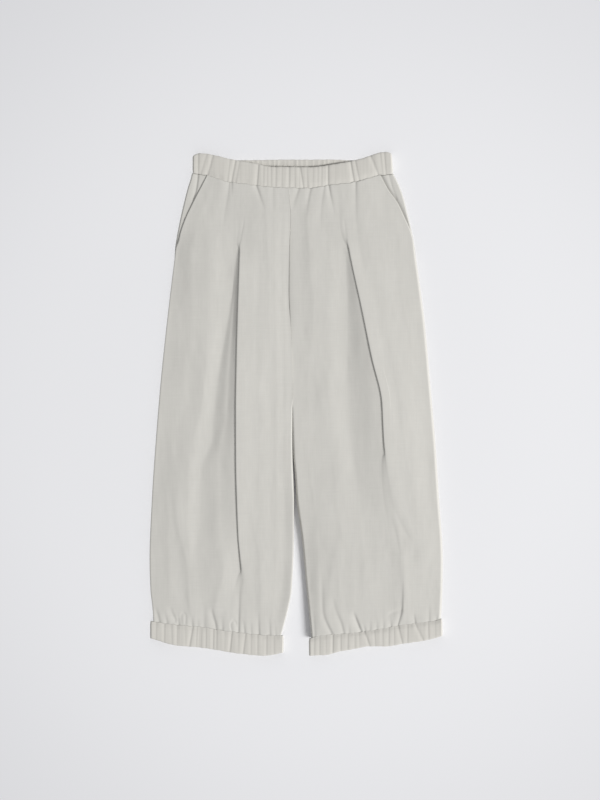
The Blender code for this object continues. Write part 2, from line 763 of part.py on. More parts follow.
def gathered_band(band):
    """An elastic band laid flat: one closed ring with gathered front and back and two rounded ends."""
    part = np.linspace(0, 1, BAND_ROWS + 1)
    half = BAND_WALL / 2
    padding = BAND_PADDING * 4 * part * (1 - part)
    low_level = half + BACK_GATHER_DEPTH
    middle = (BAND_LEVEL + low_level) / 2
    tall = (BAND_LEVEL - low_level) / 2
    left = band.front_top[0].across * (1 - part) + band.front_foot[0].across * part + half
    right = band.front_top[-1].across * (1 - part) + band.front_foot[-1].across * part - half
    grid = []

    def edge_down(top, foot, across):
        return curve(top, "down", across) * (1 - part) + curve(foot, "down", across) * part

    def add_side(columns, top, foot, gathers, height):
        for column_top, column_foot in columns:
            across = column_top + (column_foot - column_top) * part
            pinched = height - pinch(gathers, across, part)
            grid.append(np.stack([across, edge_down(top, foot, across), pinched], axis=1))

    def add_end(edge, way, turns):
        for turn in turns:
            across = edge - way * BAND_ROUND * (1 - np.cos(turn))
            share = (1 + np.sin(turn)) / 2
            down = edge_down(band.front_top, band.front_foot, across) * share
            down = down + edge_down(band.back_top, band.back_foot, across) * (1 - share)
            grid.append(np.stack([across, down, middle + tall * np.sin(turn) + padding * share], axis=1))

    start = max(left) + BAND_ROUND + BAND_CLEAR
    end = min(right) - BAND_ROUND - BAND_CLEAR
    add_side(gather_columns(band.gathers, start, end), band.front_top, band.front_foot, band.gathers,
             BAND_LEVEL + padding)
    add_end(right, 1, END_TURNS[::-1])
    add_side(gather_columns(band.back_gathers, start, end)[::-1], band.back_top, band.back_foot,
             band.back_gathers, low_level)
    add_end(left, -1, END_TURNS)
    return sheet(band.name, np.array(grid).transpose(1, 0, 2), BAND_WALL, around=True)


def build():
    """Make every piece of the garment."""
    front_panel(Panel("front_left", LEFT_SIDE, LEFT_INNER, LEFT_PLEAT, LEFT_CREASES, LEFT_PUCKERS,
                      LEFT_CUFF_SEAM, 12, 8))
    front_panel(Panel("front_right", RIGHT_INNER, RIGHT_SIDE, RIGHT_PLEAT, RIGHT_CREASES, RIGHT_PUCKERS,
                      RIGHT_CUFF_SEAM, 14, 8))
    low = SEAM_HEIGHT - EDGE_GAP / 2
    back_panel("back_left", side_edges(LEFT_HIP, LEFT_SIDE, low), back_edges(LEFT_INNER), LEFT_CUFF_SEAM)
    right_side = side_edges(RIGHT_HIP, RIGHT_SIDE, low)
    back_panel("back_right", back_edges(RIGHT_INNER), right_side, RIGHT_CUFF_SEAM)
    pocket_facing("pocket_facing_left", LEFT_HIP, LEFT_SIDE, 1)
    pocket_facing("pocket_facing_right", RIGHT_HIP, RIGHT_SIDE, -1)
    gathered_band(Band("waistband", WAIST_TOP_FRONT, raised(WAIST_SEAM), WAIST_TOP_BACK,
                       raised(WAIST_SEAM_BACK), WAIST_GATHERS, even_gathers(-150, 140, 20)))
    gathered_band(Band("cuff_left", lowered(LEFT_CUFF_SEAM), LEFT_CUFF_FOOT, lowered(LEFT_CUFF_SEAM),
                       LEFT_CUFF_FOOT, LEFT_CUFF_GATHERS, even_gathers(-224, -30, 14)))
    gathered_band(Band("cuff_right", lowered(RIGHT_CUFF_SEAM), RIGHT_CUFF_FOOT, lowered(RIGHT_CUFF_SEAM),
                       RIGHT_CUFF_FOOT, RIGHT_CUFF_GATHERS, even_gathers(30, 224, 14)))


remove_everything()
build()
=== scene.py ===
"""Looks of the cropped balloon trousers, laid flat with the front up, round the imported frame.

Tables are in millimetres. Across is measured from the middle of the garment's box, positive to the right as seen
from above. Down is measured from the highest corner of the waistband towards the hems. Height is measured from the
floor to the middle of the cloth's thickness. Blender's objects are in metres, +X across, +Y towards the waist.
"""

from collections import namedtuple

import bpy
import numpy as np
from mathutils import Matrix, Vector


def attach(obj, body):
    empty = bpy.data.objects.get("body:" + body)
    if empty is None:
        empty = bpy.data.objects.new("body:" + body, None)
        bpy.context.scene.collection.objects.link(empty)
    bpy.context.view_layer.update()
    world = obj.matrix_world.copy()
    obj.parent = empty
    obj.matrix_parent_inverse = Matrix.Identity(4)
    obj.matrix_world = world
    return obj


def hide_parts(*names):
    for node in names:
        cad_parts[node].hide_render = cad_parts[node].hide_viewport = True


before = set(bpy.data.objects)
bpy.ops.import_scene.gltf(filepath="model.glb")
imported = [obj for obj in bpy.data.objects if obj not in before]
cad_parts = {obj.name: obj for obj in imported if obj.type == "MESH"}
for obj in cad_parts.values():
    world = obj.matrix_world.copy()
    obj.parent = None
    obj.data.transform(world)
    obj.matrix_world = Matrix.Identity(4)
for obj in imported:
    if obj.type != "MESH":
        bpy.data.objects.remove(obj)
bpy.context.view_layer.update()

MM = 0.001
MIDDLE_DOWN = 404.3
CLOTH_WALL = 0.8
SEAM_GAP = 0.06

Edge = namedtuple("Edge", "down across height round")
Pleat = namedtuple("Pleat", "down across overlap step top")
Guide = namedtuple("Guide", "down across height")
Shoulder = namedtuple("Shoulder", "down height")
Rim = namedtuple("Rim", "across down")
Mark = namedtuple("Mark", "down across depth left right")
Gather = namedtuple("Gather", "top foot depth")
Stretch = namedtuple("Stretch", "start end count")
Panel = namedtuple("Panel", "name left right left_shoulder right_shoulder pleat before after creases seam")
Band = namedtuple("Band", "name front_top front_foot back_top back_foot gathers back_gathers seed")

# Outer edges of the front panels: along the pocket mouth first, then down the side seam to the cuff.
LEFT_SIDE = [
    Edge(38, -141.8, 9.6, 0.6),
    Edge(60, -153.4, 9.4, 0.6),
    Edge(77, -162.3, 9.2, 0.6),
    Edge(110, -178.0, 8.8, 0.6),
    Edge(130, -185.0, 8.0, 0.6),
    Edge(143, -188.6, 7.0, 2.0),
    Edge(156, -193.0, 4.6, 0.6),
    Edge(172, -195.0, 3.2, 0.6),
    Edge(270, -206.8, 3.2, 0.6),
    Edge(366, -216.9, 3.2, 0.6),
    Edge(462, -224.9, 3.2, 0.6),
    Edge(558, -231.3, 3.2, 0.6),
    Edge(654, -235.0, 3.2, 0.6),
    Edge(702, -233.5, 3.2, 0.6),
    Edge(730, -230.4, 3.4, 0.6),
    Edge(746, -229.2, 4.0, 0.6),
    Edge(756, -228.8, 4.3, 0.6),
]
RIGHT_SIDE = [
    Edge(38, 133.7, 9.6, 0.6),
    Edge(62, 146.8, 9.4, 0.6),
    Edge(82, 161.2, 9.2, 0.6),
    Edge(106, 172.9, 8.8, 0.6),
    Edge(131, 184.2, 7.8, 1.6),
    Edge(145, 188.0, 6.6, 2.4),
    Edge(158, 190.0, 4.8, 3.0),
    Edge(174, 192.4, 3.2, 3.5),
    Edge(270, 205.4, 3.2, 4.0),
    Edge(366, 214.2, 3.2, 4.0),
    Edge(462, 222.5, 3.2, 4.0),
    Edge(558, 228.9, 3.2, 4.0),
    Edge(654, 234.8, 3.2, 4.0),
    Edge(702, 234.2, 3.2, 4.0),
    Edge(730, 233.0, 3.4, 4.0),
    Edge(750, 231.6, 4.0, 4.0),
]

# Side seams behind the pocket mouths, from the waist to just below the pockets.
LEFT_HIP = [
    Edge(36, -167.2, 3.8, 0.6),
    Edge(46, -169.7, 3.6, 0.6),
    Edge(61, -174.5, 3.4, 0.6),
    Edge(78, -178.8, 3.2, 0.6),
    Edge(102, -184.4, 3.2, 0.6),
    Edge(126, -189.4, 3.2, 0.6),
    Edge(150, -193.4, 3.2, 0.6),
    Edge(160, -194.4, 3.2, 0.6),
]
RIGHT_HIP = [
    Edge(36, 155.6, 3.8, 4.0),
    Edge(46, 160.8, 3.6, 4.0),
    Edge(61, 167.3, 3.4, 4.0),
    Edge(78, 172.9, 3.2, 4.0),
    Edge(102, 178.8, 3.2, 4.0),
    Edge(126, 184.6, 3.2, 4.0),
    Edge(150, 189.2, 3.2, 4.0),
    Edge(160, 190.8, 3.2, 4.0),
]

# Inner edges: both follow the centre seam down to the crotch, and then each leg has its own inseam.
LEFT_INNER = [
    Edge(58, -12.8, 12.0, 2.0),
    Edge(107, -9.0, 12.0, 2.0),
    Edge(155, -11.0, 12.0, 2.0),
    Edge(226, -12.0, 12.0, 2.0),
    Edge(304, -7.3, 12.0, 2.0),
    Edge(371, -5.5, 12.0, 2.0),
    Edge(396, -6.0, 11.0, 2.0),
    Edge(412, -6.2, 9.0, 2.0),
    Edge(440, -6.2, 7.4, 2.0),
    Edge(490, -5.8, 4.6, 2.0),
    Edge(520, -4.6, 3.4, 2.5),
    Edge(560, -3.6, 3.2, 1.2),
    Edge(622, -3.9, 3.2, 1.0),
    Edge(702, -7.2, 3.2, 1.0),
    Edge(734, -13.2, 3.6, 1.0),
    Edge(775, -24.0, 4.3, 1.0),
]
RIGHT_INNER = [
    Edge(58, -12.8, 10.0, 5.0),
    Edge(107, -9.0, 9.5, 9.0),
    Edge(155, -11.0, 9.2, 11.0),
    Edge(226, -12.0, 8.8, 12.0),
    Edge(270, -9.6, 9.3, 9.0),
    Edge(304, -7.3, 9.8, 5.0),
    Edge(345, -6.2, 11.0, 4.0),
    Edge(371, -5.5, 12.0, 3.0),
    Edge(396, -6.0, 11.0, 3.0),
    Edge(412, -6.2, 9.0, 3.0),
    Edge(440, -6.0, 7.4, 3.0),
    Edge(490, -4.6, 4.6, 3.0),
    Edge(520, -2.0, 3.4, 3.0),
    Edge(558, 0.6, 3.2, 3.0),
    Edge(622, 9.2, 3.2, 3.0),
    Edge(691, 15.6, 3.2, 3.0),
    Edge(742, 20.4, 3.6, 3.0),
    Edge(779, 24.0, 4.3, 3.0),
]

# Heights of the cloth where each rounded edge ends and the panel begins.
LEFT_SIDE_SHOULDER = [
    Shoulder(58, 9.9),
    Shoulder(110, 9.4),
    Shoulder(143, 8.2),
    Shoulder(174, 8.0),
    Shoulder(286, 8.6),
    Shoulder(398, 8.8),
    Shoulder(460, 9.2),
    Shoulder(520, 9.4),
    Shoulder(670, 9.6),
    Shoulder(770, 10.0),
]
LEFT_INNER_SHOULDER = [
    Shoulder(58, 10.1),
    Shoulder(174, 10.2),
    Shoulder(286, 10.3),
    Shoulder(398, 10.2),
    Shoulder(494, 11.2),
    Shoulder(590, 12.2),
    Shoulder(670, 12.0),
    Shoulder(730, 11.0),
    Shoulder(770, 10.0),
]
RIGHT_INNER_SHOULDER = [
    Shoulder(58, 10.0),
    Shoulder(174, 9.9),
    Shoulder(286, 10.0),
    Shoulder(398, 10.0),
    Shoulder(494, 9.8),
    Shoulder(590, 9.0),
    Shoulder(690, 7.6),
    Shoulder(770, 10.0),
]
RIGHT_SIDE_SHOULDER = [
    Shoulder(58, 9.9),
    Shoulder(120, 9.6),
    Shoulder(174, 9.6),
    Shoulder(398, 9.8),
    Shoulder(590, 9.8),
    Shoulder(770, 10.0),
]

# Pleats: the tuck is stitched shut above 145 mm, then opens with the right part folded over the left one.
# Overlap is how far the hidden fold reaches under the visible one, step the height of the two folds, top
# that of the upper one.
LEFT_PLEAT = [
    Pleat(50, -80.0, -6.0, 0.0, 10.5),
    Pleat(117, -84.4, -4.0, 0.2, 10.9),
    Pleat(144, -89.2, -3.0, 0.9, 11.4),
    Pleat(156, -90.2, -1.0, 1.8, 12.0),
    Pleat(170, -90.6, 2.0, 1.8, 12.8),
    Pleat(192, -91.2, 5.0, 1.6, 13.6),
    Pleat(256, -93.3, 11.0, 1.6, 14.9),
    Pleat(342, -95.5, 15.0, 1.7, 15.9),
    Pleat(424, -96.6, 16.0, 2.0, 16.3),
    Pleat(500, -96.3, 15.0, 2.0, 16.2),
    Pleat(560, -94.8, 13.0, 2.0, 15.8),
    Pleat(620, -92.4, 8.0, 1.8, 14.8),
    Pleat(650, -89.6, 3.0, 2.0, 13.8),
    Pleat(676, -87.6, -1.5, 1.5, 13.0),
    Pleat(706, -90.6, -7.0, 0.8, 12.0),
    Pleat(744, -91.8, -12.0, 0.4, 11.0),
    Pleat(770, -92.4, -14.0, 0.3, 10.5),
]
RIGHT_PLEAT = [
    Pleat(50, 74.8, -6.0, 0.0, 10.5),
    Pleat(118, 77.2, -4.0, 0.2, 10.9),
    Pleat(138, 80.6, -3.0, 0.9, 11.4),
    Pleat(150, 83.0, -1.0, 1.8, 12.0),
    Pleat(166, 86.2, 2.0, 1.8, 12.8),
    Pleat(190, 91.2, 5.0, 1.6, 13.6),
    Pleat(245, 103.3, 10.0, 1.7, 14.8),
    Pleat(332, 121.2, 14.0, 2.0, 15.9),
    Pleat(402, 137.2, 13.0, 2.0, 16.2),
    Pleat(440, 139.0, 9.0, 1.9, 15.8),
    Pleat(462, 140.2, 4.0, 2.0, 15.2),
    Pleat(484, 142.2, -1.0, 1.5, 14.6),
    Pleat(510, 145.5, -6.0, 0.9, 13.8),
    Pleat(562, 154.8, -11.0, 0.5, 12.9),
    Pleat(645, 167.0, -12.0, 0.5, 12.2),
    Pleat(731, 168.5, -10.0, 0.6, 11.0),
    Pleat(765, 162.0, -8.0, 0.4, 10.5),
]

# Ridges and valleys that the panels bend along, in order across, to the left of each pleat and to its right.
LEFT_BEFORE = [
    [
        Guide(50, -132, 10.3),
        Guide(110, -155, 10.4),
        Guide(174, -166, 10.9),
        Guide(286, -164, 10.6),
        Guide(398, -176, 9.8),
        Guide(460, -196, 10.0),
        Guide(590, -200, 10.8),
        Guide(670, -190, 10.8),
        Guide(718, -180, 10.4),
        Guide(770, -180, 10.3),
    ],
    [
        Guide(50, -118, 10.4),
        Guide(110, -136, 10.6),
        Guide(174, -140, 11.4),
        Guide(286, -142, 11.1),
        Guide(398, -150, 10.8),
        Guide(494, -172, 11.4),
        Guide(590, -174, 11.6),
        Guide(640, -172, 11.6),
        Guide(670, -172, 11.0),
        Guide(718, -168, 10.4),
        Guide(770, -170, 10.3),
    ],
    [
        Guide(50, -100, 10.3),
        Guide(144, -101, 10.5),
        Guide(170, -100, 9.9),
        Guide(200, -99, 9.5),
        Guide(256, -107, 9.0),
        Guide(342, -122, 8.8),
        Guide(424, -132, 8.8),
        Guide(462, -135, 9.2),
        Guide(513, -153, 9.9),
        Guide(590, -153, 10.4),
        Guide(640, -160, 11.2),
        Guide(670, -160, 11.2),
        Guide(718, -160, 10.6),
        Guide(770, -162, 10.3),
    ],
    [
        Guide(50, -93, 10.4),
        Guide(144, -96, 10.6),
        Guide(170, -97, 9.9),
        Guide(256, -101, 10.4),
        Guide(342, -108, 11.2),
        Guide(424, -112, 11.5),
        Guide(494, -124, 11.8),
        Guide(590, -122, 12.4),
        Guide(670, -126, 12.8),
        Guide(718, -126, 11.4),
        Guide(770, -124, 10.3),
    ],
]
LEFT_AFTER = [
    [
        Guide(50, -60, 10.5),
        Guide(174, -58, 12.2),
        Guide(286, -60, 13.6),
        Guide(398, -60, 13.8),
        Guide(494, -60, 13.8),
        Guide(590, -62, 13.4),
        Guide(670, -62, 12.2),
        Guide(720, -62, 11.0),
        Guide(770, -60, 10.3),
    ],
    [
        Guide(50, -36, 10.4),
        Guide(174, -36, 11.4),
        Guide(286, -34, 12.0),
        Guide(398, -34, 12.0),
        Guide(494, -34, 12.4),
        Guide(590, -34, 12.2),
        Guide(670, -34, 11.4),
        Guide(720, -38, 10.6),
        Guide(770, -44, 10.3),
    ],
    [
        Guide(50, -22, 10.2),
        Guide(174, -22, 10.6),
        Guide(286, -20, 10.9),
        Guide(398, -18, 10.9),
        Guide(494, -20, 11.4),
        Guide(590, -18, 11.4),
        Guide(670, -20, 10.8),
        Guide(720, -25, 10.2),
        Guide(770, -36, 10.3),
    ],
]
RIGHT_BEFORE = [
    [
        Guide(50, 14, 10.2),
        Guide(174, 26, 10.4),
        Guide(286, 12, 9.9),
        Guide(398, 16, 9.9),
        Guide(494, 22, 10.0),
        Guide(590, 34, 10.2),
        Guide(670, 36, 10.4),
        Guide(730, 40, 10.6),
        Guide(775, 44, 10.3),
    ],
    [
        Guide(50, 44, 10.5),
        Guide(174, 54, 10.7),
        Guide(286, 50, 10.2),
        Guide(398, 54, 10.2),
        Guide(494, 62, 10.4),
        Guide(590, 70, 11.0),
        Guide(670, 68, 11.7),
        Guide(730, 72, 11.2),
        Guide(775, 74, 10.3),
    ],
    [
        Guide(50, 66, 10.4),
        Guide(144, 73, 10.3),
        Guide(174, 79, 9.7),
        Guide(256, 82, 8.9),
        Guide(342, 82, 8.2),
        Guide(430, 84, 8.2),
        Guide(520, 96, 9.8),
        Guide(590, 104, 11.0),
        Guide(670, 102, 11.4),
        Guide(730, 106, 11.0),
        Guide(775, 110, 10.3),
    ],
]
RIGHT_AFTER = [
    [
        Guide(50, 104, 10.5),
        Guide(174, 118, 12.0),
        Guide(286, 142, 13.4),
        Guide(398, 164, 13.8),
        Guide(470, 172, 13.2),
        Guide(590, 192, 12.0),
        Guide(670, 194, 11.5),
        Guide(730, 196, 10.8),
        Guide(770, 198, 10.3),
    ],
]

# Waist seam of the front, leg cuff seams, and the band edges that lie outside them.
WAIST_SEAM = [
    Rim(-166.0, 36.0),
    Rim(-140.4, 39.4),
    Rim(-125.0, 44.2),
    Rim(-110.0, 48.8),
    Rim(-65.4, 54.6),
    Rim(-13.2, 58.9),
    Rim(22.0, 58.9),
    Rim(52.4, 54.8),
    Rim(92.4, 49.4),
    Rim(112.0, 44.6),
    Rim(131.8, 39.0),
    Rim(155.3, 36.5),
]
WAIST_TOP_FRONT = [
    Rim(-166.0, 8.0),
    Rim(-154.5, 3.6),
    Rim(-136.4, 5.6),
    Rim(-102.8, 13.4),
    Rim(-67.6, 19.4),
    Rim(-37.2, 25.1),
    Rim(22.0, 25.6),
    Rim(68.4, 19.7),
    Rim(103.6, 12.2),
    Rim(143.6, 1.4),
    Rim(153.0, 4.0),
]
WAIST_TOP_BACK = [
    Rim(-166.0, 9.5),
    Rim(-154.5, 6.6),
    Rim(-120.0, 12.4),
    Rim(-90.0, 14.6),
    Rim(-50.0, 14.0),
    Rim(0.0, 13.6),
    Rim(60.0, 13.6),
    Rim(84.0, 14.4),
    Rim(104.0, 14.6),
    Rim(143.6, 5.0),
    Rim(153.0, 6.4),
]
WAIST_SEAM_BACK = [
    Rim(-166.0, 36.0),
    Rim(-110.0, 42.0),
    Rim(0.0, 46.0),
    Rim(92.0, 41.5),
    Rim(155.3, 36.5),
]
LEFT_CUFF_SEAM = [
    Rim(-234.0, 752.0),
    Rim(-221.2, 754.6),
    Rim(-187.6, 758.4),
    Rim(-142.8, 763.2),
    Rim(-101.2, 769.6),
    Rim(-77.2, 772.8),
    Rim(-20.0, 776.0),
]
LEFT_CUFF_FOOT = [
    Rim(-234.0, 779.5),
    Rim(-192.4, 791.0),
    Rim(-158.8, 794.0),
    Rim(-126.8, 798.4),
    Rim(-93.2, 804.0),
    Rim(-51.6, 807.5),
    Rim(-20.6, 803.0),
]
RIGHT_CUFF_SEAM = [
    Rim(20.0, 779.6),
    Rim(40.7, 775.4),
    Rim(74.8, 772.6),
    Rim(117.5, 768.0),
    Rim(143.1, 763.2),
    Rim(164.0, 759.0),
    Rim(185.2, 756.4),
    Rim(210.8, 753.6),
    Rim(234.0, 748.5),
]
RIGHT_CUFF_FOOT = [
    Rim(20.4, 807.5),
    Rim(49.2, 806.4),
    Rim(66.3, 801.6),
    Rim(91.9, 796.8),
    Rim(117.5, 792.6),
    Rim(143.1, 792.6),
    Rim(168.7, 788.8),
    Rim(202.8, 784.0),
    Rim(234.3, 776.0),
]

# Gathers of the bands from left to right: across at the top and at the foot, and how deep each is pinched.
WAIST_GATHERS = [
    Gather(-156.6, -157.0, 1.3),
    Gather(-142.8, -153.0, 0.8),
    Gather(-132.9, -141.8, 1.5),
    Gather(-106.0, -110.0, 0.8),
    Gather(-97.0, -103.5, 1.8),
    Gather(-90.5, -97.0, 0.9),
    Gather(-60.2, -62.8, 1.8),
    Gather(-52.2, -53.0, 0.7),
    Gather(-46.3, -46.6, 0.7),
    Gather(-40.4, -40.2, 0.8),
    Gather(-32.4, -32.8, 0.8),
    Gather(-22.8, -23.2, 0.7),
    Gather(-11.0, -11.4, 1.3),
    Gather(-2.6, -2.4, 0.8),
    Gather(4.7, 4.7, 0.6),
    Gather(6.4, 11.6, 1.5),
    Gather(16.7, 18.0, 0.8),
    Gather(26.8, 26.2, 0.8),
    Gather(34.8, 34.4, 0.7),
    Gather(40.6, 40.2, 0.8),
    Gather(45.4, 45.6, 0.6),
    Gather(51.0, 51.2, 1.8),
    Gather(62.6, 62.0, 0.4),
    Gather(86.8, 92.4, 1.9),
    Gather(94.0, 101.0, 1.4),
    Gather(119.0, 131.5, 1.8),
    Gather(134.0, 138.2, 0.8),
    Gather(140.6, 143.8, 1.0),
]
LEFT_CUFF_GATHERS = [
    Gather(-223.8, -224.2, 0.7),
    Gather(-210.6, -211.0, 0.9),
    Gather(-200.0, -199.0, 0.5),
    Gather(-190.4, -190.6, 0.9),
    Gather(-188.0, -187.6, 0.5),
    Gather(-178.0, -177.0, 0.4),
    Gather(-165.2, -171.0, 1.6),
    Gather(-158.6, -160.2, 0.9),
    Gather(-154.4, -156.0, 0.7),
    Gather(-151.6, -152.6, 0.9),
    Gather(-144.4, -144.6, 0.9),
    Gather(-132.4, -133.0, 1.5),
    Gather(-127.2, -127.6, 0.8),
    Gather(-114.0, -115.0, 0.4),
    Gather(-102.6, -106.5, 1.6),
    Gather(-92.0, -94.0, 0.4),
    Gather(-81.0, -84.8, 1.5),
    Gather(-71.8, -72.4, 0.7),
    Gather(-61.8, -62.0, 0.8),
    Gather(-47.0, -47.4, 0.8),
    Gather(-36.0, -35.6, 0.4),
]
RIGHT_CUFF_GATHERS = [
    Gather(29.0, 28.6, 0.8),
    Gather(37.4, 37.2, 0.9),
    Gather(48.0, 48.0, 0.4),
    Gather(58.8, 58.4, 1.6),
    Gather(71.6, 71.2, 0.9),
    Gather(82.8, 82.4, 0.8),
    Gather(93.4, 93.6, 0.9),
    Gather(100.8, 101.4, 0.8),
    Gather(109.0, 118.0, 1.6),
    Gather(125.0, 126.8, 0.9),
    Gather(138.0, 138.6, 0.8),
    Gather(148.4, 148.0, 0.9),
    Gather(156.6, 157.0, 0.7),
    Gather(163.2, 170.0, 1.5),
    Gather(178.2, 177.8, 0.8),
    Gather(190.0, 204.0, 1.5),
    Gather(211.0, 212.0, 0.8),
    Gather(222.0, 222.4, 0.6),
]

# Creases of the left front: each runs through its marks, with its depth there and its width to either side.
# One of negative depth is a soft ridge.
LEFT_CREASES = [
    [
        Mark(50, -107.4, 1.3, 3.0, 2.0),
        Mark(70, -109.6, 0.9, 4.0, 3.0),
        Mark(96, -114.6, 0.7, 5.0, 4.0),
        Mark(117, -118.0, 0.4, 6.0, 5.0),
        Mark(132, -120.0, 0.0, 6.0, 5.0),
    ],
    [
        Mark(50, -103.4, 1.2, 1.8, 1.6),
        Mark(62, -103.4, 0.6, 2.0, 2.0),
        Mark(74, -103.6, 0.0, 2.0, 2.0),
    ],
    [
        Mark(52, -65.2, 2.0, 2.5, 1.8),
        Mark(72, -58.4, 1.2, 2.8, 2.0),
        Mark(90, -52.0, 0.4, 3.0, 2.4),
        Mark(100, -49.4, 0.0, 3.0, 2.6),
    ],
    [
        Mark(66, -58.0, 0.0, 4.0, 14.0),
        Mark(96, -48.6, -0.7, 4.5, 18.0),
        Mark(155, -44.6, -1.0, 7.0, 22.0),
        Mark(202, -42.4, -1.0, 8.0, 22.0),
        Mark(272, -43.6, -0.7, 8.0, 22.0),
        Mark(371, -37.2, 0.0, 8.0, 20.0),
    ],
    [
        Mark(56, -37.2, 0.7, 2.2, 2.2),
        Mark(84, -37.2, 0.4, 3.0, 3.0),
        Mark(100, -37.2, 0.0, 3.0, 3.0),
    ],
    [
        Mark(104, -83.4, 0.0, 1.4, 1.0),
        Mark(117, -84.6, 0.35, 1.6, 1.0),
        Mark(146, -89.6, 0.5, 1.8, 1.2),
    ],
    [
        Mark(436, -208.0, 0.0, 6.0, 16.0),
        Mark(494, -194.6, -0.9, 9.0, 20.0),
        Mark(560, -192.4, -0.9, 7.0, 20.0),
        Mark(600, -188.6, -1.0, 5.5, 18.0),
        Mark(640, -178.4, -1.0, 5.5, 18.0),
        Mark(670, -173.2, -1.2, 6.5, 18.0),
        Mark(712, -170.8, -1.2, 5.0, 16.0),
        Mark(738, -169.0, -0.7, 4.0, 12.0),
        Mark(750, -168.0, 0.0, 4.0, 10.0),
    ],
    [
        Mark(500, -214.0, 0.0, 5.0, 16.0),
        Mark(560, -205.0, -0.5, 6.0, 16.0),
        Mark(640, -204.0, -0.6, 6.0, 16.0),
        Mark(700, -202.0, -0.5, 6.0, 14.0),
        Mark(730, -200.0, 0.0, 5.0, 12.0),
    ],
    [
        Mark(540, -127.0, 0.0, 10.0, 18.0),
        Mark(590, -126.0, -0.5, 10.0, 18.0),
        Mark(640, -119.0, -0.9, 9.0, 18.0),
        Mark(672, -115.6, -1.2, 8.0, 16.0),
        Mark(708, -123.0, -1.2, 8.0, 16.0),
        Mark(730, -129.6, -0.8, 6.0, 12.0),
        Mark(742, -132.0, 0.0, 4.0, 10.0),
    ],
    [
        Mark(730, -135.0, 0.0, 3.0, 2.0),
        Mark(740, -134.0, 1.4, 3.0, 2.0),
        Mark(756, -129.5, 1.9, 2.6, 1.8),
        Mark(768, -127.5, 1.6, 2.2, 1.6),
    ],
    [
        Mark(552, -78.0, 0.0, 4.0, 14.0),
        Mark(590, -69.6, -0.5, 5.0, 16.0),
        Mark(636, -60.4, -0.7, 6.5, 16.0),
        Mark(670, -56.4, -0.9, 8.0, 16.0),
        Mark(718, -56.4, -0.9, 6.0, 14.0),
        Mark(748, -58.0, 0.0, 4.0, 12.0),
    ],
    [
        Mark(734, -61.0, 0.0, 3.0, 1.8),
        Mark(756, -60.4, 1.0, 3.0, 1.8),
        Mark(775, -59.6, 1.7, 2.6, 1.6),
    ],
    [
        Mark(664, -88.0, 0.3, 4.0, 2.0),
        Mark(684, -87.6, 0.9, 4.0, 2.2),
        Mark(706, -90.6, 0.9, 4.0, 2.4),
        Mark(744, -92.0, 1.4, 3.0, 1.8),
        Mark(769, -92.4, 2.0, 2.6, 1.6),
    ],
    [
        Mark(726, -202.4, 0.0, 3.0, 2.0),
        Mark(738, -198.6, 0.9, 3.0, 2.0),
        Mark(750, -193.4, 1.4, 2.8, 1.8),
    ],
    [
        Mark(742, -188.6, 0.3, 2.4, 1.6),
        Mark(750, -188.2, 1.4, 2.4, 1.6),
        Mark(760, -187.6, 1.8, 2.2, 1.5),
    ],
    [
        Mark(756, -184.0, 0.9, 1.6, 1.4),
        Mark(744, -184.6, 0.7, 1.6, 1.4),
        Mark(739, -180.6, 0.8, 1.6, 1.4),
        Mark(743, -177.0, 0.8, 1.6, 1.4),
        Mark(756, -177.0, 1.0, 1.6, 1.4),
    ],
    [
        Mark(746, -167.4, 0.3, 2.6, 1.8),
        Mark(761, -166.0, 1.5, 2.2, 1.6),
    ],
    [
        Mark(722, -148.0, 0.0, 5.0, 4.0),
        Mark(744, -147.6, 0.8, 5.0, 4.0),
        Mark(761, -147.6, 1.3, 4.0, 3.0),
    ],
    [
        Mark(748, -118.6, 0.2, 2.4, 1.8),
        Mark(766, -118.0, 1.2, 2.2, 1.6),
    ],
    [
        Mark(766, -104.0, 1.1, 1.6, 1.4),
        Mark(757, -105.0, 0.8, 1.6, 1.4),
        Mark(751, -100.4, 0.8, 1.6, 1.4),
        Mark(755, -96.4, 0.8, 1.6, 1.4),
    ],
    [
        Mark(752, -84.6, 0.2, 2.4, 1.8),
        Mark(770, -82.5, 1.4, 2.2, 1.6),
    ],
    [
        Mark(750, -73.0, 0.0, 2.4, 1.8),
        Mark(773, -72.0, 0.9, 2.2, 1.6),
    ],
    [
        Mark(742, -43.6, 0.0, 3.0, 2.0),
        Mark(774, -42.0, 1.2, 2.4, 1.6),
    ],
    [
        Mark(756, -34.0, 0.0, 2.4, 1.8),
        Mark(775, -33.0, 0.8, 2.0, 1.6),
    ],
    [
        Mark(728, -226.0, 0.0, 2.4, 2.0),
        Mark(742, -221.6, 1.2, 2.4, 2.0),
        Mark(753, -219.0, 1.4, 2.2, 1.8),
    ],
    [
        Mark(736, -211.0, 0.0, 2.6, 2.0),
        Mark(747, -208.4, 0.8, 2.6, 2.0),
        Mark(755, -206.4, 1.2, 2.2, 1.6),
    ],
    [
        Mark(744, -158.0, 0.0, 2.4, 1.8),
        Mark(762, -157.0, 0.8, 2.2, 1.6),
    ],
]
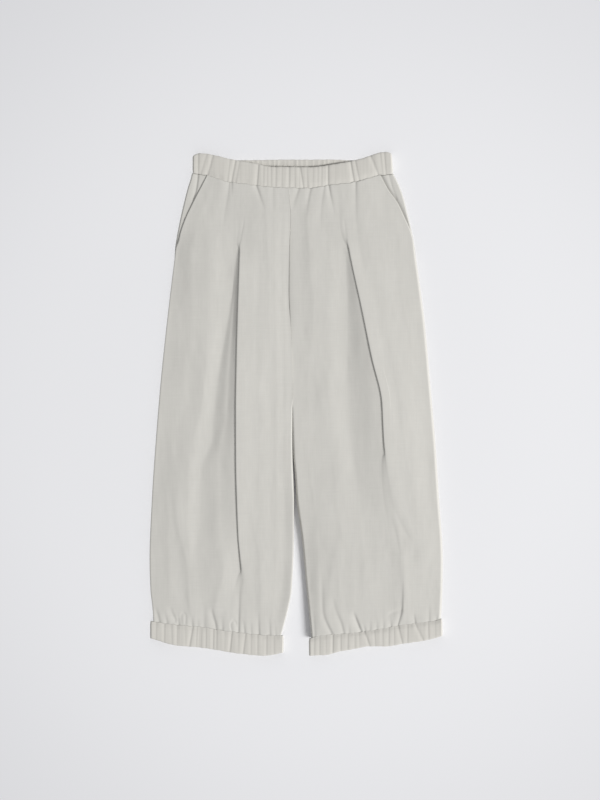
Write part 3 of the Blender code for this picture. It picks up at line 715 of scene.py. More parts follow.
RIGHT_CREASES = [
    [
        Mark(60, 3.9, 1.1, 2.6, 2.0),
        Mark(85, -4.4, 0.6, 3.6, 3.0),
        Mark(98, -6.0, 0.0, 4.0, 4.0),
    ],
    [
        Mark(57, 23.0, 1.2, 2.2, 2.0),
        Mark(85, 18.0, 0.9, 3.0, 2.4),
        Mark(108, 15.6, 0.0, 4.0, 3.0),
    ],
    [
        Mark(72, 21.0, 0.0, 4.0, 14.0),
        Mark(100, 18.6, -0.7, 5.0, 16.0),
        Mark(130, 19.6, -0.9, 6.0, 20.0),
        Mark(166, 21.8, -1.0, 7.5, 20.0),
        Mark(202, 24.2, -0.9, 7.5, 20.0),
        Mark(240, 27.4, -0.8, 7.5, 20.0),
        Mark(300, 26.0, -0.5, 8.0, 20.0),
        Mark(345, 20.0, 0.0, 8.0, 18.0),
    ],
    [
        Mark(56, 44.9, 0.9, 2.2, 2.0),
        Mark(80, 41.0, 0.7, 3.4, 3.0),
        Mark(104, 39.1, 0.6, 4.5, 4.0),
        Mark(134, 40.2, 0.0, 5.0, 5.0),
    ],
    [
        Mark(53, 51.6, 2.0, 2.2, 1.8),
        Mark(72, 54.8, 1.2, 2.6, 2.0),
        Mark(90, 58.6, 0.4, 3.0, 2.6),
        Mark(106, 61.6, 0.0, 3.0, 3.0),
    ],
    [
        Mark(49, 95.0, 1.4, 2.0, 1.8),
        Mark(76, 95.0, 0.9, 3.0, 2.4),
        Mark(107, 95.4, 0.6, 4.5, 3.6),
        Mark(142, 98.8, 0.6, 6.0, 5.0),
        Mark(180, 105.0, 0.9, 8.0, 7.0),
        Mark(214, 112.0, 0.0, 8.0, 8.0),
    ],
    [
        Mark(104, 76.6, 0.0, 1.4, 1.0),
        Mark(117, 77.4, 0.35, 1.6, 1.0),
        Mark(140, 81.0, 0.5, 1.8, 1.2),
    ],
    [
        Mark(185, 163.0, 0.0, 4.0, 14.0),
        Mark(245, 171.4, -0.3, 4.0, 14.0),
        Mark(288, 180.2, -0.35, 4.0, 14.0),
        Mark(330, 189.5, 0.0, 4.0, 12.0),
    ],
    [
        Mark(468, 143.6, 0.0, 4.0, 12.0),
        Mark(492, 146.4, -0.8, 5.0, 14.0),
        Mark(531, 151.0, -0.8, 7.0, 14.0),
        Mark(565, 163.0, -0.8, 11.0, 13.0),
        Mark(594, 178.0, -0.8, 15.0, 12.0),
        Mark(616, 188.0, -0.7, 12.0, 10.0),
        Mark(636, 182.0, -0.3, 8.0, 9.0),
        Mark(652, 175.0, 0.0, 6.0, 8.0),
    ],
    [
        Mark(560, 150.0, 0.0, 3.0, 3.0),
        Mark(580, 160.0, 0.4, 3.0, 3.0),
        Mark(596, 168.0, 0.5, 3.0, 3.0),
        Mark(612, 176.0, 0.5, 3.4, 3.0),
        Mark(624, 182.0, 0.0, 3.0, 3.0),
    ],
    [
        Mark(588, 152.0, 0.0, 3.0, 3.0),
        Mark(606, 158.0, 0.5, 3.4, 3.0),
        Mark(628, 162.0, 0.5, 4.0, 3.0),
        Mark(650, 167.0, 0.0, 4.0, 3.0),
    ],
    [
        Mark(632, 170.0, 0.0, 5.0, 12.0),
        Mark(654, 171.4, -0.7, 6.0, 14.0),
        Mark(674, 172.6, -1.1, 6.0, 14.0),
        Mark(700, 172.8, -1.3, 5.0, 14.0),
        Mark(731, 171.6, -1.5, 4.0, 12.0),
        Mark(746, 170.6, -0.8, 3.5, 10.0),
        Mark(754, 169.6, 0.0, 3.0, 8.0),
    ],
    [
        Mark(684, 169.8, 0.0, 2.6, 1.4),
        Mark(712, 169.6, 0.8, 2.6, 1.4),
        Mark(734, 168.8, 1.3, 2.6, 1.4),
        Mark(746, 166.0, 1.3, 2.4, 1.6),
        Mark(761, 162.0, 1.7, 2.4, 1.6),
    ],
    [
        Mark(440, 11.0, 0.0, 4.0, 14.0),
        Mark(500, 20.0, -0.3, 4.0, 14.0),
        Mark(560, 29.0, -0.35, 4.0, 14.0),
        Mark(600, 34.0, 0.0, 4.0, 12.0),
    ],
    [
        Mark(470, 58.0, 0.0, 5.0, 14.0),
        Mark(520, 62.0, -0.3, 5.0, 16.0),
        Mark(590, 70.0, -0.5, 6.0, 16.0),
        Mark(616, 74.0, -0.4, 4.0, 14.0),
        Mark(630, 76.0, 0.0, 4.0, 12.0),
    ],
    [
        Mark(596, 72.0, 0.0, 6.0, 14.0),
        Mark(640, 64.0, -0.5, 6.0, 16.0),
        Mark(672, 57.6, -0.6, 6.0, 16.0),
        Mark(712, 53.6, -0.4, 6.0, 14.0),
        Mark(730, 53.0, 0.0, 6.0, 12.0),
    ],
    [
        Mark(596, 104.0, 0.0, 6.0, 16.0),
        Mark(640, 107.0, -0.5, 7.0, 18.0),
        Mark(678, 108.6, -0.6, 7.0, 18.0),
        Mark(716, 108.0, 0.0, 7.0, 16.0),
    ],
    [
        Mark(676, 40.8, 0.0, 4.0, 2.6),
        Mark(704, 41.4, 0.8, 4.0, 2.6),
        Mark(735, 42.6, 1.4, 3.4, 2.2),
        Mark(750, 46.2, 1.5, 3.0, 2.0),
        Mark(774, 57.6, 1.9, 2.4, 1.6),
    ],
    [
        Mark(712, 58.0, 0.0, 4.0, 2.6),
        Mark(736, 63.6, 0.9, 3.6, 2.4),
        Mark(755, 71.6, 1.4, 3.0, 2.0),
        Mark(773, 76.4, 1.5, 2.4, 1.6),
    ],
    [
        Mark(736, 91.0, 0.0, 3.6, 1.8),
        Mark(748, 95.6, 2.2, 3.4, 1.5),
        Mark(760, 100.4, 2.9, 3.0, 1.3),
        Mark(769, 104.4, 2.6, 2.6, 1.3),
    ],
    [
        Mark(758, 107.6, 0.4, 2.2, 1.4),
        Mark(769, 110.6, 1.6, 2.0, 1.4),
    ],
    [
        Mark(752, 129.0, 0.2, 2.2, 1.6),
        Mark(766, 129.2, 1.2, 2.0, 1.4),
    ],
    [
        Mark(750, 139.6, 0.2, 2.2, 1.6),
        Mark(764, 139.6, 1.1, 2.0, 1.4),
    ],
    [
        Mark(744, 149.4, 0.0, 2.6, 1.8),
        Mark(762, 152.0, 1.2, 2.4, 1.6),
    ],
    [
        Mark(745, 146.0, 0.1, 2.0, 2.0),
        Mark(739, 152.0, 0.8, 2.0, 2.0),
        Mark(736, 160.0, 1.1, 2.2, 2.2),
        Mark(735, 168.0, 0.8, 2.2, 2.2),
    ],
    [
        Mark(738, 187.8, 0.0, 2.8, 1.8),
        Mark(749, 189.4, 1.1, 2.4, 1.6),
        Mark(757, 190.8, 1.5, 2.0, 1.4),
    ],
    [
        Mark(724, 212.0, 0.0, 3.4, 2.4),
        Mark(740, 212.4, 0.7, 3.0, 2.2),
        Mark(755, 212.6, 1.2, 2.2, 1.6),
    ],
    [
        Mark(740, 224.0, 0.0, 2.4, 1.8),
        Mark(751, 224.6, 1.0, 2.0, 1.6),
    ],
    [
        Mark(730, 26.4, 0.0, 3.4, 2.6),
        Mark(748, 28.0, 0.7, 3.0, 2.4),
        Mark(778, 29.8, 1.4, 2.4, 1.8),
    ],
    [
        Mark(750, 119.0, 0.1, 2.2, 1.6),
        Mark(768, 118.0, 1.1, 2.0, 1.4),
    ],
    [
        Mark(756, 84.0, 0.1, 2.2, 1.6),
        Mark(772, 85.0, 1.0, 2.0, 1.4),
    ],
]

# Folds of the hip facings: one beside each pocket mouth, and on the right one along it.
LEFT_FACING_CREASES = [
    [
        Mark(34, -156.4, 1.6, 2.4, 1.0),
        Mark(56, -159.0, 1.6, 2.4, 1.0),
        Mark(76, -163.0, 1.4, 2.4, 1.2),
    ],
]
RIGHT_FACING_CREASES = [
    [
        Mark(36, 148.0, 0.7, 1.4, 2.0),
        Mark(56, 153.0, 0.9, 1.4, 2.0),
        Mark(76, 160.4, 0.6, 1.4, 2.0),
    ],
    [
        Mark(36, 134.0, 2.4, 3.0, 2.6),
        Mark(62, 147.6, 2.4, 3.0, 2.6),
        Mark(82, 162.0, 2.2, 3.0, 2.6),
        Mark(106, 173.7, 2.0, 3.0, 2.6),
        Mark(131, 185.0, 1.8, 3.0, 2.6),
    ],
]

# Soft creases on the underside of the backs, as far as a cloth that lies flat is lifted.
LEFT_BACK_CREASES = [
    [Mark(48, -60.0, 1.0, 3.0, 4.0), Mark(110, -66.0, 0.7, 5.0, 5.0), Mark(190, -70.0, 0.0, 6.0, 6.0)],
    [Mark(48, -104.0, 1.2, 3.0, 4.0), Mark(120, -112.0, 0.8, 5.0, 4.0), Mark(240, -120.0, 0.0, 6.0, 6.0)],
    [Mark(46, -134.0, 0.9, 3.0, 3.0), Mark(90, -140.0, 0.5, 4.0, 4.0), Mark(140, -143.0, 0.0, 5.0, 5.0)],
    [Mark(50, -30.0, 1.1, 3.0, 4.0), Mark(140, -34.0, 0.8, 5.0, 6.0), Mark(280, -30.0, 0.0, 7.0, 7.0)],
    [Mark(300, -160.0, 0.0, 8.0, 8.0), Mark(420, -172.0, 0.9, 9.0, 7.0), Mark(560, -166.0, 0.0, 8.0, 8.0)],
    [Mark(360, -60.0, 0.0, 9.0, 8.0), Mark(520, -78.0, 1.1, 9.0, 7.0), Mark(700, -70.0, 0.0, 8.0, 8.0)],
    [Mark(600, -200.0, 0.0, 6.0, 6.0), Mark(700, -192.0, 1.0, 5.0, 4.0), Mark(752, -188.0, 1.2, 3.0, 3.0)],
    [Mark(640, -152.0, 0.0, 6.0, 6.0), Mark(720, -146.0, 0.9, 5.0, 4.0), Mark(756, -144.0, 1.2, 3.0, 3.0)],
    [Mark(620, -108.0, 0.0, 6.0, 6.0), Mark(710, -112.0, 1.0, 5.0, 4.0), Mark(762, -110.0, 1.2, 3.0, 3.0)],
    [Mark(670, -46.0, 0.0, 6.0, 6.0), Mark(730, -50.0, 0.9, 4.0, 4.0), Mark(768, -52.0, 1.2, 3.0, 3.0)],
    [Mark(716, -84.0, 0.0, 4.0, 4.0), Mark(764, -82.0, 1.1, 3.0, 3.0)],
    [Mark(716, -166.0, 0.0, 4.0, 4.0), Mark(756, -168.0, 1.1, 3.0, 3.0)],
]
RIGHT_BACK_CREASES = [
    [Mark(48, 24.0, 1.0, 3.0, 4.0), Mark(120, 28.0, 0.7, 5.0, 5.0), Mark(210, 26.0, 0.0, 6.0, 6.0)],
    [Mark(48, 62.0, 1.2, 3.0, 4.0), Mark(110, 66.0, 0.8, 5.0, 4.0), Mark(230, 76.0, 0.0, 6.0, 6.0)],
    [Mark(46, 98.0, 0.9, 3.0, 3.0), Mark(100, 104.0, 0.6, 4.0, 4.0), Mark(170, 112.0, 0.0, 5.0, 5.0)],
    [Mark(44, 126.0, 0.8, 3.0, 4.0), Mark(100, 134.0, 0.4, 5.0, 5.0), Mark(130, 138.0, 0.0, 5.0, 5.0)],
    [Mark(280, 150.0, 0.0, 8.0, 8.0), Mark(400, 160.0, 0.9, 9.0, 7.0), Mark(540, 156.0, 0.0, 8.0, 8.0)],
    [Mark(380, 54.0, 0.0, 9.0, 8.0), Mark(530, 70.0, 1.1, 9.0, 7.0), Mark(690, 62.0, 0.0, 8.0, 8.0)],
    [Mark(600, 196.0, 0.0, 6.0, 6.0), Mark(700, 190.0, 1.0, 5.0, 4.0), Mark(750, 186.0, 1.2, 3.0, 3.0)],
    [Mark(640, 142.0, 0.0, 6.0, 6.0), Mark(720, 138.0, 0.9, 5.0, 4.0), Mark(758, 136.0, 1.2, 3.0, 3.0)],
    [Mark(620, 104.0, 0.0, 6.0, 6.0), Mark(710, 98.0, 1.0, 5.0, 4.0), Mark(764, 96.0, 1.2, 3.0, 3.0)],
    [Mark(680, 44.0, 0.0, 6.0, 6.0), Mark(735, 48.0, 0.9, 4.0, 4.0), Mark(770, 50.0, 1.2, 3.0, 3.0)],
    [Mark(716, 74.0, 0.0, 4.0, 4.0), Mark(766, 76.0, 1.1, 3.0, 3.0)],
    [Mark(712, 164.0, 0.0, 4.0, 4.0), Mark(754, 162.0, 1.1, 3.0, 3.0)],
]

# Rows of a panel from its upper seam to its lower one, as parts of its length, closest where it is gathered.
FRONT_ROWS = [
    Stretch(0.0, 0.015, 8),
    Stretch(0.015, 0.1, 30),
    Stretch(0.1, 0.22, 34),
    Stretch(0.22, 0.79, 82),
    Stretch(0.79, 0.93, 36),
    Stretch(0.93, 0.985, 24),
    Stretch(0.985, 1.0, 8),
]
BACK_ROWS = [Stretch(0.0, 0.1, 16), Stretch(0.1, 0.8, 60), Stretch(0.8, 1.0, 40)]
BEFORE_COLUMNS = 78
AFTER_COLUMNS = 58
BACK_COLUMNS = 90
ROUND_TURNS = np.radians(np.linspace(0, 90, 9))
FOLD_TURNS = np.radians([30, 60, 90, 120, 150])

CRISP = 0.7
SEAM_BLEND = 0.25
FULL_FOLD = 4.0
OPEN_FOLD = 2.0
PLEAT_RUN = 3.0
EDGE_GAP = 0.9
BACK_HEIGHT = CLOTH_WALL / 2
CROTCH_DOWN = 410.0
SEAM_DIP = 0.12
SEAM_DIP_REACH = 1.7
CREASE_SAMPLES = 5
CREASE_POWER = 1.6
CREASE_REACH = 4.0
LIT_SIDE = 1.8
TROUGH_SHARE = 0.72
RIDGE_SHARE = 0.7
NOISE_CELLS = 64

FACING_BELOW = 1.1
FACING_TUCK = 12.0
FACING_FOOT = 152.0
FACING_ROUND = 2.0
FACING_BLEND = 0.6

BAND_HALF = 1.2
BAND_SEAM_HALF = 0.55
BAND_SEAM_DROP = 0.55
BAND_SWELL = 0.22
BAND_SEAM_ROUND = 0.002
BAND_FOLD_ROUND = 0.06
BAND_LEVEL = 10.7
BAND_PADDING = 0.8
BAND_ROUND = 1.4
BAND_BACK_LIFT = 5.2
BAND_LIFT_RUN = 70.0
GATHER_SHARE = 0.55
BAND_BACK_LEVEL = 1.5
BAND_BACK_GATHER = 1.0
BAND_COLUMN = 0.9
BAND_SECTION = 14
END_TURNS = np.radians(np.linspace(-80, 80, 13))


def curve(table, column, at):
    """Read one column of a table at given places, on a smooth line through its rows that never overshoots."""
    knots = np.array([row[0] for row in table], float)
    values = np.array([getattr(row, column) for row in table], float)
    step = np.diff(knots)
    rise = np.diff(values) / step
    slope = np.empty_like(values)
    slope[0], slope[-1] = rise[0], rise[-1]
    before, after = rise[:-1], rise[1:]
    same_way = before * after > 0
    total = np.where(same_way, before + after, 1.0)
    slope[1:-1] = np.where(same_way, 2 * before * after / total, 0.0)
    at = np.clip(np.asarray(at, float), knots[0], knots[-1])
    cell = np.clip(np.searchsorted(knots, at) - 1, 0, len(step) - 1)
    part = (at - knots[cell]) / step[cell]
    start = (1 + 2 * part) * (1 - part) ** 2 * values[cell]
    start += part * (1 - part) ** 2 * step[cell] * slope[cell]
    end = part**2 * (3 - 2 * part) * values[cell + 1]
    end += part**2 * (part - 1) * step[cell] * slope[cell + 1]
    return start + end


def ease(part):
    """Go smoothly from 0 to 1 as part does."""
    part = np.clip(part, 0.0, 1.0)
    return part * part * (3 - 2 * part)


def stations(stretches):
    """Places of the rows: each stretch split evenly."""
    places = [stretches[0].start]
    for stretch in stretches:
        places += list(np.linspace(stretch.start, stretch.end, stretch.count + 1)[1:])
    return np.array(places)


def noise(across, down, cell_across, cell_down, seed):
    """Smooth noise from -1 to 1 between random values on a grid of cells."""
    values = np.random.default_rng(seed).uniform(-1, 1, (NOISE_CELLS, NOISE_CELLS))
    x = across / cell_across + NOISE_CELLS / 2
    y = down / cell_down
    column = np.floor(x).astype(int)
    row = np.floor(y).astype(int)
    u = ease(x - column)
    v = ease(y - row)
    column, row = column % NOISE_CELLS, row % NOISE_CELLS
    next_column, next_row = (column + 1) % NOISE_CELLS, (row + 1) % NOISE_CELLS
    upper = values[row, column] * (1 - u) + values[row, next_column] * u
    lower = values[next_row, column] * (1 - u) + values[next_row, next_column] * u
    return upper * (1 - v) + lower * v


def crumple(across, down, seed):
    """Faint unevenness of crisp cotton, longer down the leg than across it."""
    broad = 0.30 * noise(across, down, 23.0, 64.0, seed)
    middle = 0.12 * noise(across, down, 10.0, 24.0, seed + 1)
    fine = 0.05 * noise(across, down, 4.6, 8.0, seed + 2)
    return broad + middle + fine


def wobble(across):
    """How far a gathered seam wanders up and down."""
    return 0.35 * np.sin(across / 3.1) + 0.25 * np.sin(across / 1.7 + 1.0) + 0.3 * np.sin(across / 11.0)


def smooth_line(marks):
    """The marks of a crease with more between them, on a rounded line through them all."""
    points = np.array(marks, float)
    if len(points) == 2:
        return points
    padded = np.vstack([2 * points[0] - points[1], points, 2 * points[-1] - points[-2]])
    line = []
    for index in range(len(points) - 1):
        a, b, c, d = padded[index : index + 4]
        for t in np.linspace(0, 1, CREASE_SAMPLES, endpoint=False):
            place = b + 0.5 * t * (c - a + t * (2 * a - 5 * b + 4 * c - d + t * (3 * (b - c) + d - a)))
            straight = b + (c - b) * t
            line.append(np.concatenate([place[:2], straight[2:]]))
    line.append(points[-1])
    return np.array(line)


def crease_depth(creases, across, down):
    """How deep the creases are at each point: a soft trough on either side of each crease's line."""
    total = np.zeros_like(across)
    for marks in creases:
        line = smooth_line(marks)
        reach = CREASE_REACH * line[:, 3:].max()
        near = (down > line[:, 0].min() - reach) & (down < line[:, 0].max() + reach)
        near &= (across > line[:, 1].min() - reach) & (across < line[:, 1].max() + reach)
        x, y = across[near], down[near]
        nearest = np.full(x.shape, np.inf)
        depth = np.zeros_like(x)
        for start, end in zip(line[:-1], line[1:]):
            run = end - start
            along = ((y - start[0]) * run[0] + (x - start[1]) * run[1]) / (run[0] ** 2 + run[1] ** 2)
            along = np.clip(along, 0, 1)
            off_down = y - start[0] - along * run[0]
            off_across = x - start[1] - along * run[1]
            distance = np.hypot(off_down, off_across)
            on_right = run[0] * off_across - run[1] * off_down > 0
            width = np.where(on_right, start[4] + along * run[4], start[3] + along * run[3])
            peak = start[2] + along * run[2]
            width = np.where((peak > 0) & ~on_right, width * LIT_SIDE, width)
            peak = np.where(peak > 0, peak * TROUGH_SHARE, peak * RIDGE_SHARE)
            here = peak * np.exp(-((distance / width) ** CREASE_POWER))
            closer = distance < nearest
            depth = np.where(closer, here, depth)
            nearest = np.where(closer, distance, nearest)
        total[near] += depth
    return total


def guided(lines, across):
    """Height of the cloth between guide lines, each given by where it lies and how high at each point's row."""
    height = lines[0][1]
    for (place, level), (next_place, next_level) in zip(lines[:-1], lines[1:]):
        part = np.clip((across - place) / (next_place - place), 0, 1)
        bent = part + CRISP * (ease(part) - part)
        height = np.where(across > place, level + (next_level - level) * bent, height)
    return height


def mesh_piece(name, grid, faces):
    """Make one smooth object from a grid of points, which are (across, down, height), and its faces."""
    points = grid.reshape(-1, 3) * (1, -1, 1) + (0, MIDDLE_DOWN, 0)
    mesh = bpy.data.meshes.new(name)
    mesh.from_pydata((points * MM).tolist(), [], faces.tolist())
    mesh.shade_smooth()
    piece = bpy.data.objects.new(name, mesh)
    bpy.context.collection.objects.link(piece)
    return piece


def shell(name, grid, wall):
    """Make one thin shell of cloth from a grid of points."""
    rows, columns = grid.shape[:2]
    row, column = np.meshgrid(np.arange(rows - 1), np.arange(columns - 1), indexing="ij")
    here = (row * columns + column).ravel()
    faces = np.stack([here, here + columns, here + columns + 1, here + 1], axis=1)
    piece = mesh_piece(name, grid, faces)
    thickness = piece.modifiers.new("cloth thickness", "SOLIDIFY")
    thickness.thickness = wall * MM
    thickness.offset = 0
    thickness.use_rim = True
    return piece


def seam_fit(across, down, place, head, foot):
    """Shift the columns' ends on to the seams above and below them, fading out towards their middles."""
    to_head = head(across[0]) - down[0]
    to_foot = foot(across[-1]) - down[-1]
    near_head = 1 - ease(place / SEAM_BLEND)
    near_foot = ease((place - 1 + SEAM_BLEND) / SEAM_BLEND)
    return down + to_head * near_head + to_foot * near_foot


def seam_dip(down, head, foot):
    """How far a panel turns down into the seams at its two ends."""
    return SEAM_DIP * (np.exp(-(down - head) / SEAM_DIP_REACH) + np.exp(-(foot - down) / SEAM_DIP_REACH))


def pleat_path(pleat, down):
    """Places across and layers of the pleat at each row: under the visible fold, round the hidden one, and back."""
    fold = curve(pleat, "across", down)
    overlap = curve(pleat, "overlap", down)
    step = curve(pleat, "step", down)
    folded = np.clip(overlap / FULL_FOLD, 0, 1)
    bulge = step / 4 * folded
    slope = np.clip(-overlap / OPEN_FOLD, 0, 1)
    start = fold + np.minimum(overlap, 0) - PLEAT_RUN
    hidden = fold + np.maximum(overlap, 0)
    edge = fold + bulge
    path = [(start, 0.0), (start * 0.7 + hidden * 0.3, 0.0), (start * 0.35 + hidden * 0.65, 0.0), (hidden, 0.0)]
    for turn in FOLD_TURNS:
        path.append((hidden + bulge * np.sin(turn), 1 - np.cos(turn)))
    path += [(hidden, 2.0), (hidden * 0.65 + edge * 0.35, 2.0), (hidden * 0.35 + edge * 0.65, 2.0), (edge, 2.0)]
    for turn in FOLD_TURNS:
        path.append((edge - bulge * np.sin(turn), 3 - np.cos(turn)))
    path.append((edge, 4.0))
    columns = []
    for index, (place, layer) in enumerate(path):
        share = index / (len(path) - 1)
        plain = start + (edge - start) * share
        steep = layer * folded + 4 * share * (1 - folded)
        sunk = step / 4 * (4 - steep - (4 * share - steep) * slope)
        columns.append((place + (plain - place) * slope, sunk))
    return columns


def front_panel(panel, seed):
    """One front leg panel: rounded edges, a pleat whose layers lie over each other, ridges and creases."""
    place = stations(FRONT_ROWS)

    def head(across):
        return curve(WAIST_SEAM, "down", across) + wobble(across) + SEAM_GAP / 2

    def foot(across):
        return curve(panel.seam, "down", across) + wobble(across) - SEAM_GAP / 2

    def read(table):
        first, last = head(table[0].across), foot(table[-1].across)
        down = first + (last - first) * place
        return curve(table, "across", down), down

    left, left_down = read(panel.left)
    fold, fold_down = read(panel.pleat)
    right, right_down = read(panel.right)
    left_drop = curve(panel.left_shoulder, "height", left_down) - curve(panel.left, "height", left_down)
    right_drop = curve(panel.right_shoulder, "height", right_down) - curve(panel.right, "height", right_down)
    left = left + SEAM_GAP / 2 + CLOTH_WALL / 2 * np.clip(left_drop, 0, 1)
    right = right - SEAM_GAP / 2 - CLOTH_WALL / 2 * np.clip(right_drop, 0, 1)
    left_round = curve(panel.left, "round", left_down)
    right_round = curve(panel.right, "round", right_down)
    pleat = pleat_path(panel.pleat, fold_down)
    lines = [(left + left_round * (1 - np.cos(turn)), left_down, np.sin(turn), 0) for turn in ROUND_TURNS]
    start, end = left + left_round, pleat[0][0]
    for part in np.linspace(0, 1, BEFORE_COLUMNS + 2)[1:-1]:
        lines.append((start + (end - start) * part, left_down + (fold_down - left_down) * part, 1, 0))
    lines += [(across, fold_down, 1, sunk) for across, sunk in pleat]
    start, end = pleat[-1][0], right - right_round
    for part in np.linspace(0, 1, AFTER_COLUMNS + 2)[1:-1]:
        lines.append((start + (end - start) * part, fold_down + (right_down - fold_down) * part, 1, 0))
    for turn in ROUND_TURNS[::-1]:
        lines.append((right - right_round * (1 - np.cos(turn)), right_down, np.sin(turn), 0))
    across, down, turned, sunk = [
        np.stack([np.broadcast_to(line[index], place.shape) for line in lines], axis=1) for index in range(4)
    ]
    across_place = place[:, None]
    down = seam_fit(across, down, across_place, head, foot)
    row_fold = curve(panel.pleat, "across", down)
    top = curve(panel.pleat, "top", down)
    step = curve(panel.pleat, "step", down)

    def bend(guides, first, last):
        rows = [first]
        rows += [(curve(guide, "across", down), curve(guide, "height", down)) for guide in guides]
        rows.append(last)
        return guided(rows, across)

    left_start = ((left + left_round)[:, None], curve(panel.left_shoulder, "height", down))
    right_end = ((right - right_round)[:, None], curve(panel.right_shoulder, "height", down))
    before = bend(panel.before, left_start, (row_fold, top - step))
    after = bend(panel.after, (row_fold, top), right_end)
    first_pleat = len(ROUND_TURNS) + BEFORE_COLUMNS
    first_after = first_pleat + len(pleat)
    column = np.arange(len(lines))[None, :]
    share = sunk / np.maximum(step, 0.01)
    layered = top - sunk + (before - top + step) * np.where(across < row_fold, share, 0)
    height = np.where(column < first_pleat, before, np.where(column < first_after, layered, after))
    height = height - crease_depth(panel.creases, across, down) + crumple(across, down, seed)
    height = height - seam_dip(down, head(across), foot(across))
    on_left = column < first_pleat
    low = np.where(on_left, curve(panel.left, "height", down), curve(panel.right, "height", down))
    low = np.minimum(low, height)
    height = low + (height - low) * turned
    return shell(panel.name, np.stack([across, down, height], axis=2), CLOTH_WALL)


def raised(table, gap=SEAM_GAP / 2):
    """A seam's line moved up by half the seam's gap, for the band above it."""
    return [row._replace(down=row.down - gap) for row in table]


def lowered(table, gap=SEAM_GAP / 2):
    """A seam's line moved down by half the seam's gap, for the band below it."""
    return [row._replace(down=row.down + gap) for row in table]


def back_edges(table):
    """The back panel's own edge below a front edge: flat where two backs meet, turned up at the leg seams."""
    rows = []
    for row in table:
        height = row.height - EDGE_GAP if row.down > CROTCH_DOWN else BACK_HEIGHT
        rows.append(row._replace(height=height))
    return rows


def side_edges(behind_pocket, front_side):
    """The side seam from the waist to the cuff: behind the pocket mouth first, then along the front's edge."""
    below = [row for row in front_side if row.down > behind_pocket[-1].down]
    return [row._replace(height=row.height - EDGE_GAP) for row in behind_pocket + below]


def back_panel(name, left_edge, right_edge, seam, creases, seed):
    """One back leg panel, flat on the floor between its turned up edges, with soft creases that lift it."""
    place = stations(BACK_ROWS)
    inset = CLOTH_WALL / 2 + SEAM_GAP / 2

    def head(across):
        return curve(WAIST_SEAM_BACK, "down", across) + wobble(across) * 0.5 + SEAM_GAP

    def foot(across):
        return curve(seam, "down", across) + wobble(across) - SEAM_GAP

    def read(table):
        first, last = head(table[0].across), foot(table[-1].across)
        down = first + (last - first) * place
        return curve(table, "across", down), down, curve(table, "round", down)

    left, left_down, left_round = read(left_edge)
    right, right_down, right_round = read(right_edge)
    left, right = left + inset, right - inset
    lines = [(left + left_round * (1 - np.cos(turn)), left_down, np.sin(turn)) for turn in ROUND_TURNS]
    start, end = left + left_round, right - right_round
    for part in np.linspace(0, 1, BACK_COLUMNS + 2)[1:-1]:
        lines.append((start + (end - start) * part, left_down + (right_down - left_down) * part, 1))
    for turn in ROUND_TURNS[::-1]:
        lines.append((right - right_round * (1 - np.cos(turn)), right_down, np.sin(turn)))
    across, down, turned = [
        np.stack([np.broadcast_to(line[index], place.shape) for line in lines], axis=1) for index in range(3)
    ]
    down = seam_fit(across, down, place[:, None], head, foot)
    height = BACK_HEIGHT + crease_depth(creases, across, down) + 0.4 * np.abs(crumple(across, down, seed))
    on_left = np.arange(len(lines))[None, :] < len(lines) / 2
    low = np.where(on_left, curve(left_edge, "height", down), curve(right_edge, "height", down))
    height = low + (height - low) * turned
    return shell(name, np.stack([across, down, height], axis=2), CLOTH_WALL)


def pocket_facing(name, side, mouth, way, creases):
    """Hip facing: from the side seam over the rounded hip edge, and on under the front's pocket mouth.

    Way is 1 where the piece runs to the right from its side seam and -1 where it runs to the left.
    """
    place = np.linspace(0, 1, 60)
    first = curve(WAIST_SEAM, "down", side[0].across) + SEAM_GAP / 2
    down = first + (FACING_FOOT - first) * place
    edge = curve(side, "across", down) + way * (CLOTH_WALL / 2 + SEAM_GAP / 2)
    low = curve(side, "height", down)
    level = np.maximum(curve(mouth, "height", down) - FACING_BELOW, low)
    inner = curve(mouth, "across", down) + way * FACING_TUCK
    columns = []
    for turn in ROUND_TURNS:
        columns.append((edge + way * FACING_ROUND * (1 - np.cos(turn)), low + (level - low) * np.sin(turn), np.sin(turn)))
    start = columns[-1][0]
    for part in np.linspace(0, 1, 30)[1:]:
        columns.append((start + (inner - start) * part, level, np.ones_like(level)))
    grid = []
    for across, height, share in columns[::way]:
        to_head = curve(WAIST_SEAM, "down", across[0]) + wobble(across[0]) + SEAM_GAP / 2 - down[0]
        here = down + to_head * (1 - ease(place / FACING_BLEND))
        height = height - share * crease_depth(creases, across, here)
        grid.append(np.stack([across, here, height], axis=1))
    return shell(name, np.array(grid).transpose(1, 0, 2), CLOTH_WALL)


def even_gathers(start, end, count, seed):
    """Gathers on the hidden side of a band, unevenly spaced and of uneven depth."""
    random = np.random.default_rng(seed)
    places = np.linspace(start, end, count)
    rows = []
    for place in places:
        shift = random.uniform(-2.4, 2.4)
        lean = random.uniform(-1.5, 1.5)
        rows.append(Gather(place + shift, place + shift + lean, random.uniform(0.35, 1.0) * BAND_BACK_GATHER))
    return rows


def small_gathers(start, end, seed):
    """The faintest gathers, which lie between the larger ones of a band."""
    random = np.random.default_rng(seed)
    rows = []
    place = start
    while place < end:
        place += random.uniform(3.0, 8.0)
        rows.append(Gather(place, place + random.uniform(-1.2, 1.2), random.uniform(0.08, 0.3)))
    return rows


def pinch(gathers, across, part):
    """How deep the gathers pinch a band at places across, at a part of the way from its top to its foot."""
    depth = np.zeros_like(across)
    for gather in gathers:
        line = gather.top + (gather.foot - gather.top) * part
        off = across - line
        width = np.where(off > 0, 0.95, 3.0)
        depth += gather.depth * (0.72 * np.exp(-((np.abs(off) / width) ** 1.7)) + 0.28 * np.exp(-((off / 4.5) ** 2)))
    return depth * GATHER_SHARE


